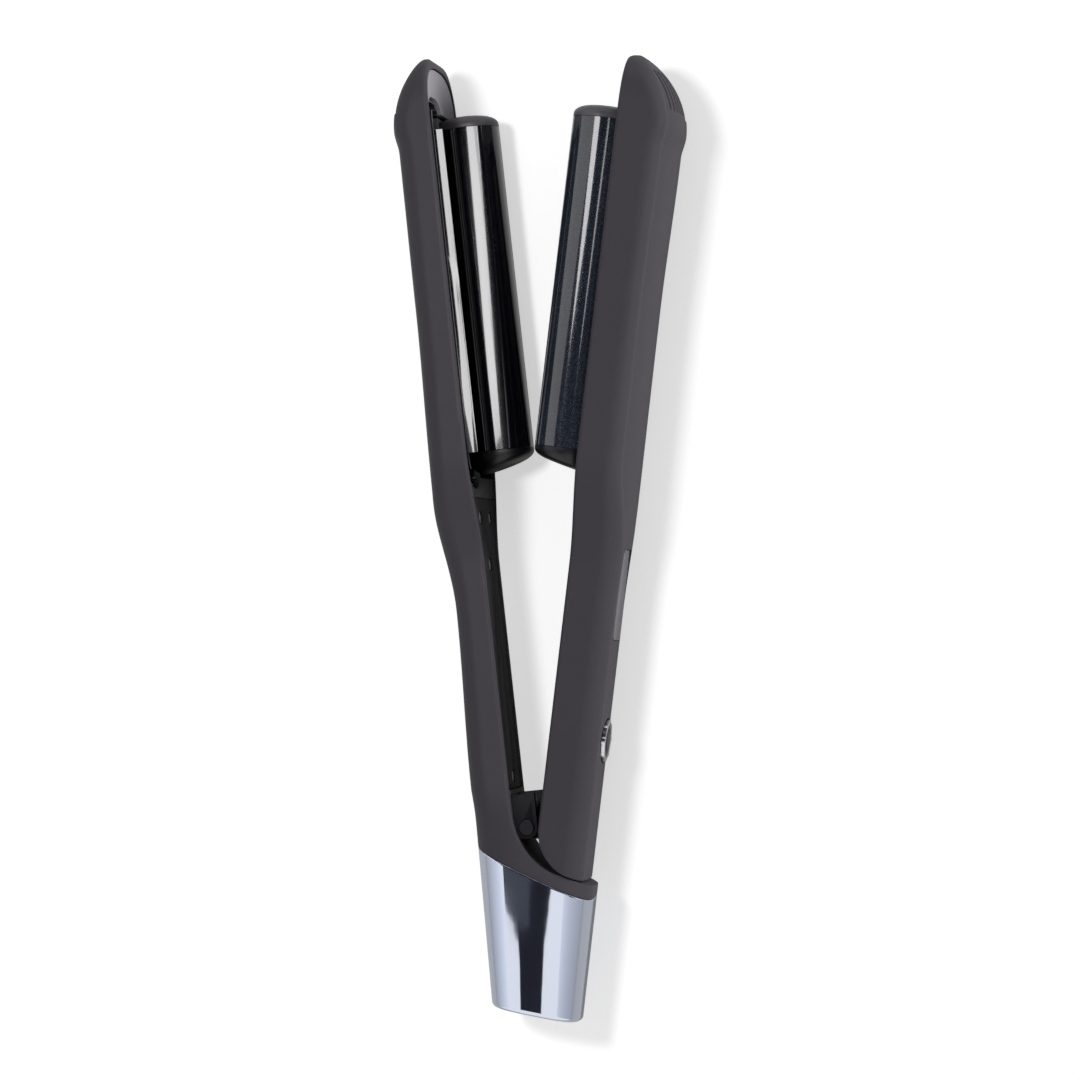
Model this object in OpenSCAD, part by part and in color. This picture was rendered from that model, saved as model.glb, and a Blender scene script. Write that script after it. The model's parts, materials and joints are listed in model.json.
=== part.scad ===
// Deep hair waver: two arms on one hinge, each with a heated barrel beside a matching trough.
// It lies on its side: +Y runs from the tail to the noses and +Z is up. The origin is the mouth
// of the cord inlet in the tail's end, and the arms close on the plane X = closing_x.
// An arm is drawn from the hinge pin: x outward from the closing plane, y to the nose, and
// the barrel on the +z half. The left arm is the same drawing turned over.

/* [Arms] */
// Cord inlet to hinge pin
pin_y = 62; // [60:0.5:66]
// X of the plane on which the arms close
closing_x = -2.1; // [-2.5:0.1:-1.6]
// Half of the angle between the open arms
open_half = 6.55; // [6:0.05:7]
// Closing plane to the rim of an arm
rim_x = 4.2; // [4:0.1:5]
// Width of a head, between its side walls
head_w = 51; // [50.5:0.5:54]
// Width of a handle
handle_w = 30; // [29.5:0.5:33]
// Hinge pin to the end of the handle's straight part
handle_y = 88; // [84:1:92]
// Hinge pin to the start of the head's full width
head_y = 124; // [120:1:126]
// Wall of a housing
wall = 1.7; // [1.5:0.1:2]
// Radius of the crown of an arm's back
crown_r = 68; // [60:1:80]
// Rounding of a head's long back edges
head_edge_r = 3.2; // [2.5:0.1:4]
// Rounding of a handle's long back edges
handle_edge_r = 7; // [6:0.1:8]

/* [Left arm thickness] */
// At the heel
left_heel_t = 14; // [13.6:0.1:15]
// At the middle of the handle
left_grip_t = 12.4; // [12.2:0.1:13.5]
// At the shoulder, where the handle meets the head
left_shoulder_t = 16.2; // [15.5:0.1:17]
// At the middle of the head
left_head_t = 15.1; // [14.8:0.1:16]
// At the swell of the nose
left_tip_t = 15.9; // [15.6:0.1:17]
// Roundness of the nose in side view
left_nose_power = 0.95; // [0.8:0.05:1]

/* [Right arm thickness] */
// At the heel
right_heel_t = 16.7; // [16.4:0.1:17.4]
// At the middle of the handle
right_grip_t = 16.7; // [16.4:0.1:17.4]
// At the shoulder
right_shoulder_t = 17.6; // [17.2:0.1:18.2]
// At the middle of the head
right_head_t = 17.4; // [17:0.1:18]
// At the swell of the nose
right_tip_t = 19.3; // [19:0.1:20]
// Roundness of the nose in side view
right_nose_power = 0.75; // [0.65:0.05:0.85]

/* [Nose] */
// Barrel's cap to the tip of the nose
nose_past = 18.6; // [17.5:0.1:20]
// Length of the nose past the swell
nose_len = 24; // [22:0.5:26]
// Length over which the nose rounds off in plan
nose_round = 20; // [18:0.5:21]
// Rounding of the tip on the inner side
tip_round = 2.6; // [2:0.1:3]
// Length of the step below the swell
tip_step = 7; // [5:0.5:8]
// Depth of that step
tip_step_t = 1; // [0.6:0.1:1.2]
// Smooth lip between the swell and the finger grip
grip_lip = 4.8; // [4.2:0.2:5.4]
// How deep the finger grip lies below that lip
grip_sink = 0.35; // [0.2:0.05:0.5]
// Number of grooves in the finger grip
grooves = 10; // [6:2:10]
// Spacing of the grooves
groove_pitch = 3.6; // [3.2:0.1:3.8]
// Radius of the round cutter of a groove
groove_r = 1; // [0.8:0.05:1.1]

/* [Barrels] */
// Radius of a barrel
barrel_r = 10.75; // [10.6:0.05:10.9]
// Wall of a barrel
barrel_wall = 1.2; // [1:0.1:1.5]
// Length of a barrel
barrel_len = 108.5; // [104:0.5:110]
// Hinge pin to the start of the barrel
barrel_y = 125.5; // [124.5:0.5:127]
// Height of a barrel's axis above its own rim
barrel_rise = 5.5; // [5.3:0.1:5.6]
// Distance from a barrel's surface to the side of its head
barrel_side = 3.05; // [2.95:0.05:3.15]
// Length of the cap at the nose end of a barrel
tip_cap_len = 4.4; // [4:0.1:5]
// Length of the cap at the handle end
root_cap_len = 8.5; // [8:0.1:9]
// Rounding of the caps
cap_round = 1.8; // [1.4:0.1:2]
// Slope of the handle end of the root cap
root_cap_slope = 15; // [12:1:18]
// Play between a closed barrel and the other arm's trough
trough_play = 0.8; // [0.8:0.05:1]
// Wall of a trough
trough_wall = 1; // [0.8:0.1:1.2]
// Trough past a barrel's cap, at the nose
trough_reach = 3.3; // [3:0.1:4]
// Rounding of the trough's end at the nose
trough_round = 7.6; // [7:0.1:8]
// Trough past a barrel's cap, at the handle
trough_root_reach = 3.4; // [3.2:0.1:3.6]
// Gap between the trough's edge and the head frame
trough_gap = 0.3; // [0.2:0.05:0.4]
// Thickness of the ribs that carry trough and frame
saddle_t = 2; // [1.5:0.1:2.5]

/* [Inner covers] */
// Thickness of the covers on the inner side
cover_t = 1.8; // [1.6:0.1:2]
// How deep the covers lie below the rim
cover_sink = 0.5; // [0.3:0.1:0.7]
// Gap round a cover
cover_gap = 0.2; // [0.15:0.05:0.3]
// Hinge pin to the joint between head frame and handle cover
cover_split_y = 109.8; // [109:0.1:110]
// Hinge pin to the lower end of the handle cover
cover_start_y = 13; // [12.6:0.1:14]
// Ledge that the covers rest on
ledge = 0.9; // [0.7:0.1:1.1]

/* [Screws] */
// Radius of a screw's shank
screw_r = 1.1; // [1:0.05:1.2]
// Radius of a screw's head
screw_head_r = 2.2; // [2:0.1:2.4]
// Length of a screw
screw_len = 6.5; // [6:0.1:7]
// Radius of a screw boss
boss_r = 2.9; // [2.7:0.1:3.1]

/* [Hinge] */
// Radius of the hinge pin
pin_r = 1.5; // [1.4:0.05:1.6]
// Running clearance between pin and knuckle
pin_play = 0.04; // [0.03:0.01:0.06]
// Radius of the knuckles
knuckle_r = 3.6; // [3.4:0.05:3.7]
// Half-width of the pair of outer cheeks
cheek_out = 12; // [11.5:0.1:12.5]
// Thickness of a cheek
cheek_t = 5.4; // [5:0.1:5.8]
// Side play between cheek and knuckle
side_play = 0.35; // [0.3:0.05:0.5]
// Height of the cheeks' flat top above the pin
cheek_top = 11.2; // [10:0.1:11.6]
// Depth of the brackets' roots behind the closing plane
bracket_depth = 9; // [8.4:0.1:9.4]
// Half-width of the spring's bay between the knuckles
spring_bay = 3; // [2.8:0.1:3.2]
// Radius of the spring's wire
spring_wire_r = 0.45; // [0.4:0.05:0.5]
// Head of the hinge pin
pin_head_r = 2.6; // [2.4:0.1:2.8]

/* [Heel] */
// Radius of the heel's sweep
heel_r = 24; // [22:0.5:25]
// Slope of the heel's straight part and of the right arm's foot
heel_slope = 20; // [18:1:22]
// X of the centre of the sweep
heel_cx = 19.2; // [18.6:0.1:19.6]
// Height of that centre above the hinge pin
heel_cy = 7.15; // [6.8:0.05:7.6]
// Gap between the heel and the right arm's foot when open
foot_gap = 0.45; // [0.35:0.05:0.6]
// Radius of the right arm's inner foot corner
foot_r = 15; // [14.5:0.1:15.5]

/* [Tail] */
// Width of the tail's end, across the arms
tail_w = 29.4; // [28.5:0.1:31]
// Depth of the tail's end
tail_d = 25; // [24:0.5:27]
// Width of the tail at the pin
tail_top_w = 42; // [41:0.5:43]
// Depth of the tail at the pin
tail_top_d = 30; // [29:0.5:31]
// Sideways drift of the tail's middle, from its end up to the pin
tail_drift = 0.5; // [0:0.1:1]
// Slope of the seam between the dark heel and the bright cap
seam_slope = 24.2; // [23:0.2:25]
// Lean of that seam to the front
seam_lean = 6; // [4:0.5:8]
// Cord inlet to the seam on the tail's axis
seam_y = 47.2; // [46:0.1:48]
// Slope of the tail's end
end_slope = 9.9; // [8:0.1:11]
// Wall of the cap
cap_wall = 1.6; // [1.4:0.1:2]
// Length of the heel's plug in the cap
plug_len = 9; // [7:0.5:11]
// Gap round that plug
plug_gap = 0.15; // [0.1:0.05:0.25]

/* [Cord gland] */
// Radius of the cord's bore
cord_r = 3.2; // [3:0.1:3.4]
// Outer radius of the swivel sleeve
gland_r = 5.2; // [5:0.1:5.4]
// Radius of its flange inside the tail
gland_flange_r = 7; // [6.6:0.1:7.4]
// Outer radius of the bushing that it turns in
bushing_r = 7.6; // [7.4:0.1:8]
// Length of the swivel sleeve
gland_len = 13; // [12:0.5:15]
// Height of the bushing
bushing_len = 7; // [6.5:0.1:8]
// Running clearance of the sleeve
gland_play = 0.06; // [0.04:0.01:0.08]

/* [Display and dial] */
// Hinge pin to the lower end of the display window
display_y = 64.5; // [62:0.5:66]
// Length of the window
display_len = 30; // [28:0.5:31]
// Width of the window
display_w = 15; // [13:0.5:16]
// Thickness of the window
display_t = 1.2; // [1:0.1:1.4]
// Hinge pin to the centre of the dial
dial_y = 31; // [29:0.5:34]
// Radius to the crests of the dial's lobes
dial_r = 7; // [6.6:0.1:7.2]
// Number of lobes
dial_lobes = 8; // [6:1:10]
// Width of the bright rim, from crest to bore
dial_rim_w = 1.7; // [1.5:0.1:2]
// Height of the dial above the back of the arm
dial_proud = 0.9; // [0.6:0.1:1.2]
// Gap round the dial
dial_gap = 0.6; // [0.4:0.1:0.8]
// Radius of the button in the dial
button_r = 3.3; // [3:0.1:3.5]
// Gap round the button
button_gap = 0.35; // [0.3:0.05:0.5]
// Travel of the button
button_travel = 0.8; // [0.6:0.1:0.8]
// Closing plane to the under side of the board
board_x = 11; // [10.6:0.1:11.4]
// Thickness of the board
board_t = 1.6; // [1.4:0.1:1.8]
// Width of the board
board_w = 19; // [18:0.5:20]

/* [Hidden] */

LEFT = 0;
RIGHT = 1;
eps = 0.01;
bore_fn = 64;

housing_colour = [0.27, 0.26, 0.28];
gloss_colour = [0.04, 0.04, 0.06];
blue_colour = [0.16, 0.19, 0.24];
chrome_colour = [0.75, 0.78, 0.85];
metal_colour = [0.7, 0.7, 0.72];
board_colour = [0.1, 0.35, 0.2];
ceramic_colour = [0.9, 0.88, 0.84];

heel_t = [left_heel_t, right_heel_t];
grip_t = [left_grip_t, right_grip_t];
shoulder_t = [left_shoulder_t, right_shoulder_t];
head_t = [left_head_t, right_head_t];
tip_t = [left_tip_t, right_tip_t];
nose_power = [left_nose_power, right_nose_power];

barrel_x = rim_x - barrel_rise;
barrel_off = head_w / 2 - barrel_r - barrel_side;
barrel_end_y = barrel_y + barrel_len;
arm_len = barrel_end_y + tip_cap_len + nose_past;

heel_y = cover_start_y + 1;
grip_y = handle_y - 14;
shoulder_y = head_y - 14;
swell_y = arm_len - nose_len;
grip_start_y = swell_y + grip_lip + 0.4;
head_mid_y = (head_y + swell_y - tip_step) / 2;
foot_y = -26;

trough_r = barrel_r + trough_play;
trough_x = -barrel_x;
trough_start = barrel_y - root_cap_len - trough_root_reach + trough_r;
trough_end = barrel_end_y + tip_cap_len + trough_reach - trough_round;
cover_x = rim_x + cover_sink;
cavity_x = cover_x + cover_t;
saddle_ys = [for (k = [1:3]) barrel_y + barrel_len * k / 4];

// ---------- where an arm lies ----------

module at_pin() {
    translate([closing_x, pin_y, 0]) children();
}

module on_arm(s) {
    turn = s == RIGHT ? -open_half : open_half;
    flip = s == RIGHT ? 0 : 180;
    at_pin() rotate([0, 0, turn]) rotate([0, flip, 0]) children();
}

// ---------- outline of an arm ----------

function ease(t) = t <= 0 ? 0 : t >= 1 ? 1 : t * t * (3 - 2 * t);

// Value at y of a smooth line through the pairs [y, value]
function along(p, y, i = 0) =
    y <= p[0][0] ? p[0][1]
    : i >= len(p) - 1 ? p[len(p) - 1][1]
    : y <= p[i + 1][0]
        ? p[i][1] + (p[i + 1][1] - p[i][1]) * ease((y - p[i][0]) / (p[i + 1][0] - p[i][0]))
    : along(p, y, i + 1);

function nose_part(y, start) = min(1, max(0, (y - start) / (arm_len - start)));

function thickness(s, y) =
    tip_round + (along([[heel_y, heel_t[s]], [grip_y, grip_t[s]], [shoulder_y, shoulder_t[s]],
           [head_mid_y, head_t[s]], [swell_y - tip_step, tip_t[s] - tip_step_t], [swell_y, tip_t[s]],
           [swell_y + grip_lip, tip_t[s]], [grip_start_y, tip_t[s] - grip_sink]], y) - tip_round)
    * pow(1 - pow(nose_part(y, swell_y), 2), nose_power[s]);

// Height of the rim over the closing plane, which curves up at the tip
function rim_at(y) =
    rim_x + tip_round - sqrt(pow(tip_round, 2) - pow(max(0, y - arm_len + tip_round), 2));

// Half of an arm's width, inset by a distance at the sides and by twice as much at the nose
function half_w(y, inset = 0) =
    let (start = arm_len - nose_round,
         n = min(1, max(0, (y - start) / (nose_round - 2 * inset))))
    (handle_w / 2 - inset + (head_w - handle_w) / 2 * ease((y - handle_y) / (head_y - handle_y)))
    * pow(1 - pow(n, 2.8), 1 / 2.8);

function edge_r(y) =
    handle_edge_r + (head_edge_r - handle_edge_r) * ease((y - handle_y) / (head_y - handle_y));

// One cross-section as points [x, y, z]; inset moves the sides and the crown inward
function section(s, y, inset, base) =
    let (a = max(0.4, half_w(y, inset)),
         top = rim_x + max(0.3, thickness(s, y) - inset),
         f = min(max(0.3, edge_r(y) - inset), (top - base) * 0.45, a * 0.45),
         c = a - f,
         drop = min(c * c / (2 * crown_r), (top - base) * 0.4),
         edge_x = top - drop)
    concat(
        [[base, y, a]],
        [for (q = [90, 60, 30]) [edge_x - f * (1 - cos(q)), y, c + f * sin(q)]],
        [for (k = [3:-1:-3]) [top - drop * pow(k / 3, 2), y, c * k / 3]],
        [for (q = [30, 60, 90]) [edge_x - f * (1 - cos(q)), y, -c - f * sin(q)]],
        [[base, y, -a]]
    );

// A closed skin through rings of equal length, given from the first end to the last
module skin(rings) {
    n = len(rings[0]);
    m = len(rings);
    points = [for (r = rings) each r];
    sides = [for (i = [0:m - 2]) for (j = [0:n - 1]) let (k = (j + 1) % n)
        each [[i * n + j, (i + 1) * n + j, i * n + k],
              [i * n + k, (i + 1) * n + j, (i + 1) * n + k]]];
    first = [for (j = [1:n - 2]) [0, j, j + 1]];
    last = [for (j = [1:n - 2]) [(m - 1) * n, (m - 1) * n + j + 1, (m - 1) * n + j]];
    polyhedron(points, concat(sides, first, last));
}

body_stations = concat(
    [foot_y, 0],
    [for (k = [1:4]) handle_y * (k + 1.5) / 5.5],
    [for (k = [1:6]) handle_y + (head_y - handle_y) * k / 6],
    [for (k = [1:3]) head_y + (swell_y - tip_step - head_y) * k / 4]
);
swell_stations = [swell_y - tip_step, swell_y - tip_step * 0.6, swell_y - tip_step * 0.3];
nose_ys = [for (q = [0:9:81]) swell_y + nose_len * sin(q)];
nose_stations = concat(
    [for (y = nose_ys) if (y < swell_y + grip_lip) y],
    [swell_y + grip_lip, grip_start_y],
    [for (y = nose_ys) if (y > grip_start_y) y]
);
arm_stations = concat(body_stations, swell_stations, nose_stations, [arm_len - 0.1]);

module arm_form(s) {
    skin([for (y = arm_stations) section(s, y, 0, rim_at(y))]);
}

cavity_end = arm_len - 2.1 * (wall + ledge);
module cavity(s) {
    inner = [for (y = arm_stations) if (y > heel_y && y < cavity_end) y];
    ends = concat([cover_start_y + 1], inner, [cavity_end]);
    skin([for (y = ends) section(s, y, wall + ledge, cavity_x)]);
}

// ---------- covers and what holds them ----------

// Outline of the covers from y0 to y1, at the given distance from the housing's outside
module cover_outline(y0, y1, inset) {
    start = arm_len - nose_round;
    reach = nose_round - 2 * inset;
    ys = concat(
        [y0],
        [for (y = body_stations) if (y > y0 + 0.5 && y < min(y1, start) - 0.5) y],
        y1 < start ? [y1] : [for (q = [0:8:88]) start + reach * sin(q)]
    );
    polygon(concat(
        [for (y = ys) [y, half_w(y, inset)]],
        [for (k = [len(ys) - 1:-1:0]) [ys[k], -half_w(ys[k], inset)]]
    ));
}

// A plate of that outline between two heights over the closing plane
module cover_plate(y0, y1, inset, x0, x1) {
    translate([x0, 0, 0]) rotate([90, 0, 90]) linear_extrude(x1 - x0)
        cover_outline(y0, y1, inset);
}

end_screws = [[cover_start_y + 4, 0], [cover_split_y - 6.5, 8.5], [cover_split_y - 6.5, -8.5]];
screws = [concat(end_screws, [[cover_split_y - 22, 0]]), end_screws];

module at_screws(list) {
    for (p = list) translate([0, p[0], p[1]]) rotate([0, 90, 0]) children();
}

module screw_holes(list) {
    at_screws(list) {
        translate([0, 0, cover_x - 1]) cylinder(r = screw_r + 0.2, h = cover_t + 2, $fn = bore_fn);
        translate([0, 0, cover_x - 1]) cylinder(r = screw_head_r + 0.2, h = 1.9, $fn = bore_fn);
    }
}

module bosses(s) {
    at_screws(screws[s]) difference() {
        translate([0, 0, cavity_x]) cylinder(r = boss_r, h = 20, $fn = 24);
        translate([0, 0, cavity_x - 1]) cylinder(r = screw_r + 0.15, h = screw_len, $fn = 16);
    }
}

module cover_screws(s) {
    color(metal_colour) on_arm(s) at_screws(screws[s]) {
        translate([0, 0, cover_x + 0.9]) cylinder(r = screw_r, h = screw_len - 1.2, $fn = bore_fn);
        difference() {
            translate([0, 0, cover_x + 0.3]) cylinder(r = screw_head_r, h = 0.6, $fn = bore_fn);
            translate([-screw_head_r, -0.25, cover_x]) cube([2 * screw_head_r, 0.5, 0.6]);
        }
    }
}

// ---------- tail, heel and foot ----------

function tail_mid(y) = tail_drift * y / pin_y;
function tail_a(y) = (tail_w + (tail_top_w - tail_w) * y / pin_y) / 2;
function tail_b(y) = (tail_d + (tail_top_d - tail_d) * y / pin_y) / 2;
function signed_pow(v, e) = sign(v) * pow(abs(v), e);

// Point of the tail's outside at angle q and height y, inset by the given wall
function tail_point(q, y, inset) = [
    tail_mid(y) + (tail_a(y) - inset) * signed_pow(cos(q), 0.66),
    y,
    (tail_b(y) - inset) * signed_pow(sin(q), 0.66)
];

// Height at (x, z) of the plane with the given middle height, slope and lean
function plane_y(p, mid, slope, lean) = mid - p[0] * tan(slope) - p[2] * tan(lean);

// Ring of the tail's outside on that plane
function tail_ring(mid, slope, lean, inset) = [
    for (q = [0:-10:-350])
        let (first = tail_point(q, mid, inset),
             second = tail_point(q, plane_y(first, mid, slope, lean), inset))
        tail_point(q, plane_y(second, mid, slope, lean), inset)
];

module tail_form(inset, bottom, top) {
    edge = inset > 0 ? 0 : 1.4;
    skin([
        tail_ring(bottom, end_slope, 0, inset + edge),
        tail_ring(bottom + edge * 0.3 + eps, end_slope, 0, inset + edge * 0.3),
        tail_ring(bottom + edge + 2 * eps, end_slope, 0, inset),
        tail_ring(top, seam_slope, seam_lean, inset)
    ]);
}

// Everything above the heel's sweep; gap moves the sweep, r is its radius
module above_heel() {
    c = [closing_x + heel_cx, pin_y + heel_cy];
    last = 270 - heel_slope;
    reach = 40;
    tangent = c + heel_r * [cos(last), sin(last)];
    translate([0, 0, -30]) linear_extrude(60) polygon(concat(
        [[c[0] - heel_r, 110]],
        [for (k = [0:10]) let (q = 180 + (last - 180) * k / 10) c + heel_r * [cos(q), sin(q)]],
        [tangent + reach * [cos(heel_slope), -sin(heel_slope)], [c[0] + reach, 110]]
    ));
}

// Everything below the right arm's foot
module below_foot() {
    last = 270 - heel_slope;
    n = [cos(last), sin(last)];
    heel_c = [closing_x + heel_cx, pin_y + heel_cy];
    along_x = closing_x + rim_x + foot_r;
    off = (heel_r - foot_gap - foot_r);
    c = [along_x, heel_c[1] + (off - (along_x - heel_c[0]) * n[0]) / n[1]];
    reach = 45;
    tangent = c + foot_r * n;
    translate([0, 0, -30]) linear_extrude(60) polygon(concat(
        [[-20, c[1]]],
        [for (k = [0:10]) let (q = 180 + (last - 180) * k / 10) c + foot_r * [cos(q), sin(q)]],
        [tangent + reach * [cos(heel_slope), -sin(heel_slope)], [40, -20], [-20, -20]]
    ));
}

module heel_form() {
    difference() {
        skin([
            tail_ring(seam_y, seam_slope, seam_lean, 0),
            tail_ring(pin_y + 12, 0, 0, 0)
        ]);
        above_heel();
    }
}

// Everything below the seam, for trimming the left arm
module below_seam() {
    // The lean is set in the turned frame
    translate([0, seam_y, 0]) rotate([atan(tan(seam_lean) * cos(seam_slope)), 0, -seam_slope])
        translate([-60, -100, -60]) cube([120, 100, 120]);
}

module heel_plug() {
    inset = cap_wall + plug_gap;
    skin([
        tail_ring(seam_y - plug_len, seam_slope, seam_lean, inset),
        tail_ring(seam_y + 1, seam_slope, seam_lean, inset)
    ]);
}

module bracket_pocket(s) {
    on_arm(s) translate([-20, -knuckle_r - 0.1, -cheek_out - 0.1])
        cube([20 + bracket_depth + 0.1, knuckle_r + cheek_top + 0.2, 2 * cheek_out + 0.2]);
}

lead_r = 3.4;
lead_turn = 8;

// Way of the leads from the tail into the left arm
module lead_way() {
    rotate([-90, 0, lead_turn]) cylinder(r = lead_r, h = pin_y + 30, $fn = 24);
}

// ---------- housings ----------

// Grooves that run lengthwise over the crown of the nose and end together at its lip
module finger_grooves(s) {
    ys = [for (y = nose_stations) if (y >= grip_start_y && y < arm_len - nose_round / 4) y];
    ends = concat([ys[0] + groove_r], [for (i = [1:len(ys) - 1]) ys[i]]);
    for (k = [0:grooves - 1]) for (i = [0:len(ends) - 2])
        hull() for (y = [ends[i], ends[i + 1]]) let (z = (k - (grooves - 1) / 2) * groove_pitch)
            translate([rim_x + thickness(s, y) - z * z / (2 * crown_r) + groove_r * 0.45, y, z])
                sphere(r = groove_r, $fn = 8);
}

module housing(s) {
    difference() {
        union() {
            difference() {
                on_arm(s) difference() {
                    arm_form(s);
                    finger_grooves(s);
                }
                if (s == RIGHT) below_foot();
                if (s == LEFT) below_seam();
            }
            if (s == LEFT) {
                heel_form();
                heel_plug();
            }
        }
        on_arm(s) {
            difference() {
                cavity(s);
                bosses(s);
                saddles();
            }
            bed(trough_r + trough_wall + 0.08);
            cover_plate(cover_start_y - cover_gap, arm_len, wall, -1, cavity_x);
            if (s == RIGHT) {
                window_shape(cover_gap, board_x + board_t + 2, 40);
                translate([0, dial_y, 0]) rotate([0, 90, 0])
                    translate([0, 0, board_x]) cylinder(r = dial_r + dial_gap, h = 20, $fn = 48);
            }
        }
        bracket_pocket(s);
        if (s == LEFT) lead_way();
    }
}

// Ribs across a head, cut to the trough and clear of the barrel
module saddles() {
    for (y = saddle_ys) difference() {
        translate([cavity_x, y, -head_w / 2]) cube([head_w / 2, saddle_t, head_w]);
        bed(trough_r + trough_wall + 0.08);
        along_barrel(y - 1) cylinder(r = barrel_r + 0.5, h = saddle_t + 2, $fn = bore_fn);
    }
}

module left_housing() { color(housing_colour) housing(LEFT); }
module right_housing() { color(housing_colour) housing(RIGHT); }

module handle_cover(s) {
    color(housing_colour) on_arm(s) difference() {
        cover_plate(cover_start_y, cover_split_y, wall + cover_gap, cover_x, cavity_x);
        screw_holes(screws[s]);
    }
}
module left_handle_cover() { handle_cover(LEFT); }
module right_handle_cover() { handle_cover(RIGHT); }

// ---------- heads ----------

module along_barrel(y) {
    translate([barrel_x, y, barrel_off]) rotate([-90, 0, 0]) children();
}

// Form of a trough with radius r: a ball at the handle end, a flatter round end at the nose
module bed(r) {
    round_r = trough_round + r - trough_r;
    len = trough_end - trough_start;
    translate([trough_x, trough_start, -barrel_off]) rotate([-90, 0, 0])
        rotate_extrude($fn = bore_fn) intersection() {
            union() {
                circle(r = r, $fn = bore_fn);
                square([r, len]);
                square([r - round_r, len + round_r]);
                translate([r - round_r, len]) circle(r = round_r, $fn = bore_fn);
            }
            translate([0, -r]) square([r, len + r + round_r]);
        }
}

module head_frame(s) {
    color(housing_colour) on_arm(s) difference() {
        cover_plate(cover_split_y + cover_gap, arm_len, wall + cover_gap, cover_x, cavity_x);
        bed(trough_r + trough_wall + trough_gap);
        translate([cover_x - 1, barrel_y - root_cap_len - 0.3, barrel_off - barrel_r - 0.3])
            cube([cover_t + 2, barrel_len + root_cap_len + tip_cap_len + 0.6, 2 * barrel_r + 0.6]);
    }
}
module left_head_frame() { head_frame(LEFT); }
module right_head_frame() { head_frame(RIGHT); }

module trough(s) {
    color(gloss_colour) on_arm(s) intersection() {
        difference() {
            bed(trough_r + trough_wall);
            bed(trough_r);
        }
        translate([cover_x, trough_start - 2 * trough_r, -barrel_off - 2 * trough_r])
            cube([2 * trough_r, trough_end - trough_start + 4 * trough_r, 4 * trough_r]);
    }
}
module left_trough() { trough(LEFT); }
module right_trough() { trough(RIGHT); }

module barrel(s) {
    color(s == LEFT ? gloss_colour : blue_colour) on_arm(s) along_barrel(barrel_y) difference() {
        cylinder(r = barrel_r, h = barrel_len, $fn = bore_fn);
        translate([0, 0, -1]) cylinder(r = barrel_r - barrel_wall, h = barrel_len + 2, $fn = bore_fn);
    }
}
module left_barrel() { barrel(LEFT); }
module right_barrel() { barrel(RIGHT); }

spigot_r = barrel_r - barrel_wall - 0.1;
spigot_len = 5;

// Round cap of the given length, rounded at its far end, with a spigot that enters the barrel
module round_cap(len) {
    rotate_extrude($fn = bore_fn) union() {
        translate([0, -spigot_len]) square([spigot_r, spigot_len]);
        square([barrel_r, len - cap_round]);
        square([barrel_r - cap_round, len]);
        translate([barrel_r - cap_round, len - cap_round]) circle(r = cap_round, $fn = bore_fn);
    }
}

// Foot of a cap: it hooks under the head frame beside the slot
module cap_foot(len) {
    translate([cavity_x - barrel_x + 0.02, -barrel_r + 0.4, 0])
        cube([2.4, 2 * barrel_r - 0.8, len]);
}

module tip_cap(s) {
    color(housing_colour) on_arm(s) along_barrel(barrel_end_y) {
        round_cap(tip_cap_len);
        translate([0, 0, 0.2]) cap_foot(tip_cap_len - 0.4);
    }
}
module left_tip_cap() { tip_cap(LEFT); }
module right_tip_cap() { tip_cap(RIGHT); }

// Its end follows the round end of the other arm's trough
module root_cap(s) {
    color(housing_colour) on_arm(s) along_barrel(barrel_y) rotate([0, 180, 180]) difference() {
        intersection() {
            round_cap(root_cap_len);
            translate([0, 0, barrel_y - trough_start]) union() {
                sphere(r = barrel_r + 0.1, $fn = bore_fn);
                translate([0, 0, -20]) cylinder(r = barrel_r + 0.1, h = 20, $fn = bore_fn);
            }
        }
        translate([-barrel_r, 0, root_cap_len / 2]) rotate([0, -root_cap_slope, 0])
            translate([-10, -30, 0]) cube([60, 60, 20]);
    }
}
module left_root_cap() { root_cap(LEFT); }
module right_root_cap() { root_cap(RIGHT); }

// ---------- heaters ----------

heater_start = 8;
heater_gap = 0.3;
heater_r = barrel_r - barrel_wall - heater_gap;
strip_w = 11;
strip_t = 2.4;
sensor_r = 1;
fuse_r = 1.7;
sensor_off = 5.4;

module heat_spreader(s) {
    color(metal_colour) on_arm(s) along_barrel(barrel_y + heater_start) difference() {
        cylinder(r = heater_r, h = barrel_len - 2 * heater_start, $fn = bore_fn);
        translate([-strip_t / 2, -strip_w / 2, -1]) cube([strip_t, strip_w, barrel_len]);
        translate([sensor_off, 0, -1]) cylinder(r = sensor_r + 0.2, h = barrel_len, $fn = bore_fn);
        translate([-sensor_off, 0, -1]) cylinder(r = fuse_r + 0.2, h = barrel_len, $fn = bore_fn);
    }
}
module left_heat_spreader() { heat_spreader(LEFT); }
module right_heat_spreader() { heat_spreader(RIGHT); }

module ceramic_heater(s) {
    color(ceramic_colour) on_arm(s) along_barrel(barrel_y + heater_start + 2)
        translate([-strip_t / 2 + 0.1, -strip_w / 2 + 0.1, 0])
            cube([strip_t - 0.2, strip_w - 0.2, barrel_len - 2 * heater_start - 4]);
}
module left_ceramic_heater() { ceramic_heater(LEFT); }
module right_ceramic_heater() { ceramic_heater(RIGHT); }

module thermistor(s) {
    color(ceramic_colour) on_arm(s) along_barrel(barrel_y + barrel_len / 2) {
        translate([sensor_off, 0, 0]) cylinder(r = sensor_r * 0.6, h = 9, $fn = bore_fn);
        translate([sensor_off, 0, 9]) sphere(r = sensor_r, $fn = bore_fn);
    }
}
module left_thermistor() { thermistor(LEFT); }
module right_thermistor() { thermistor(RIGHT); }

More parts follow.
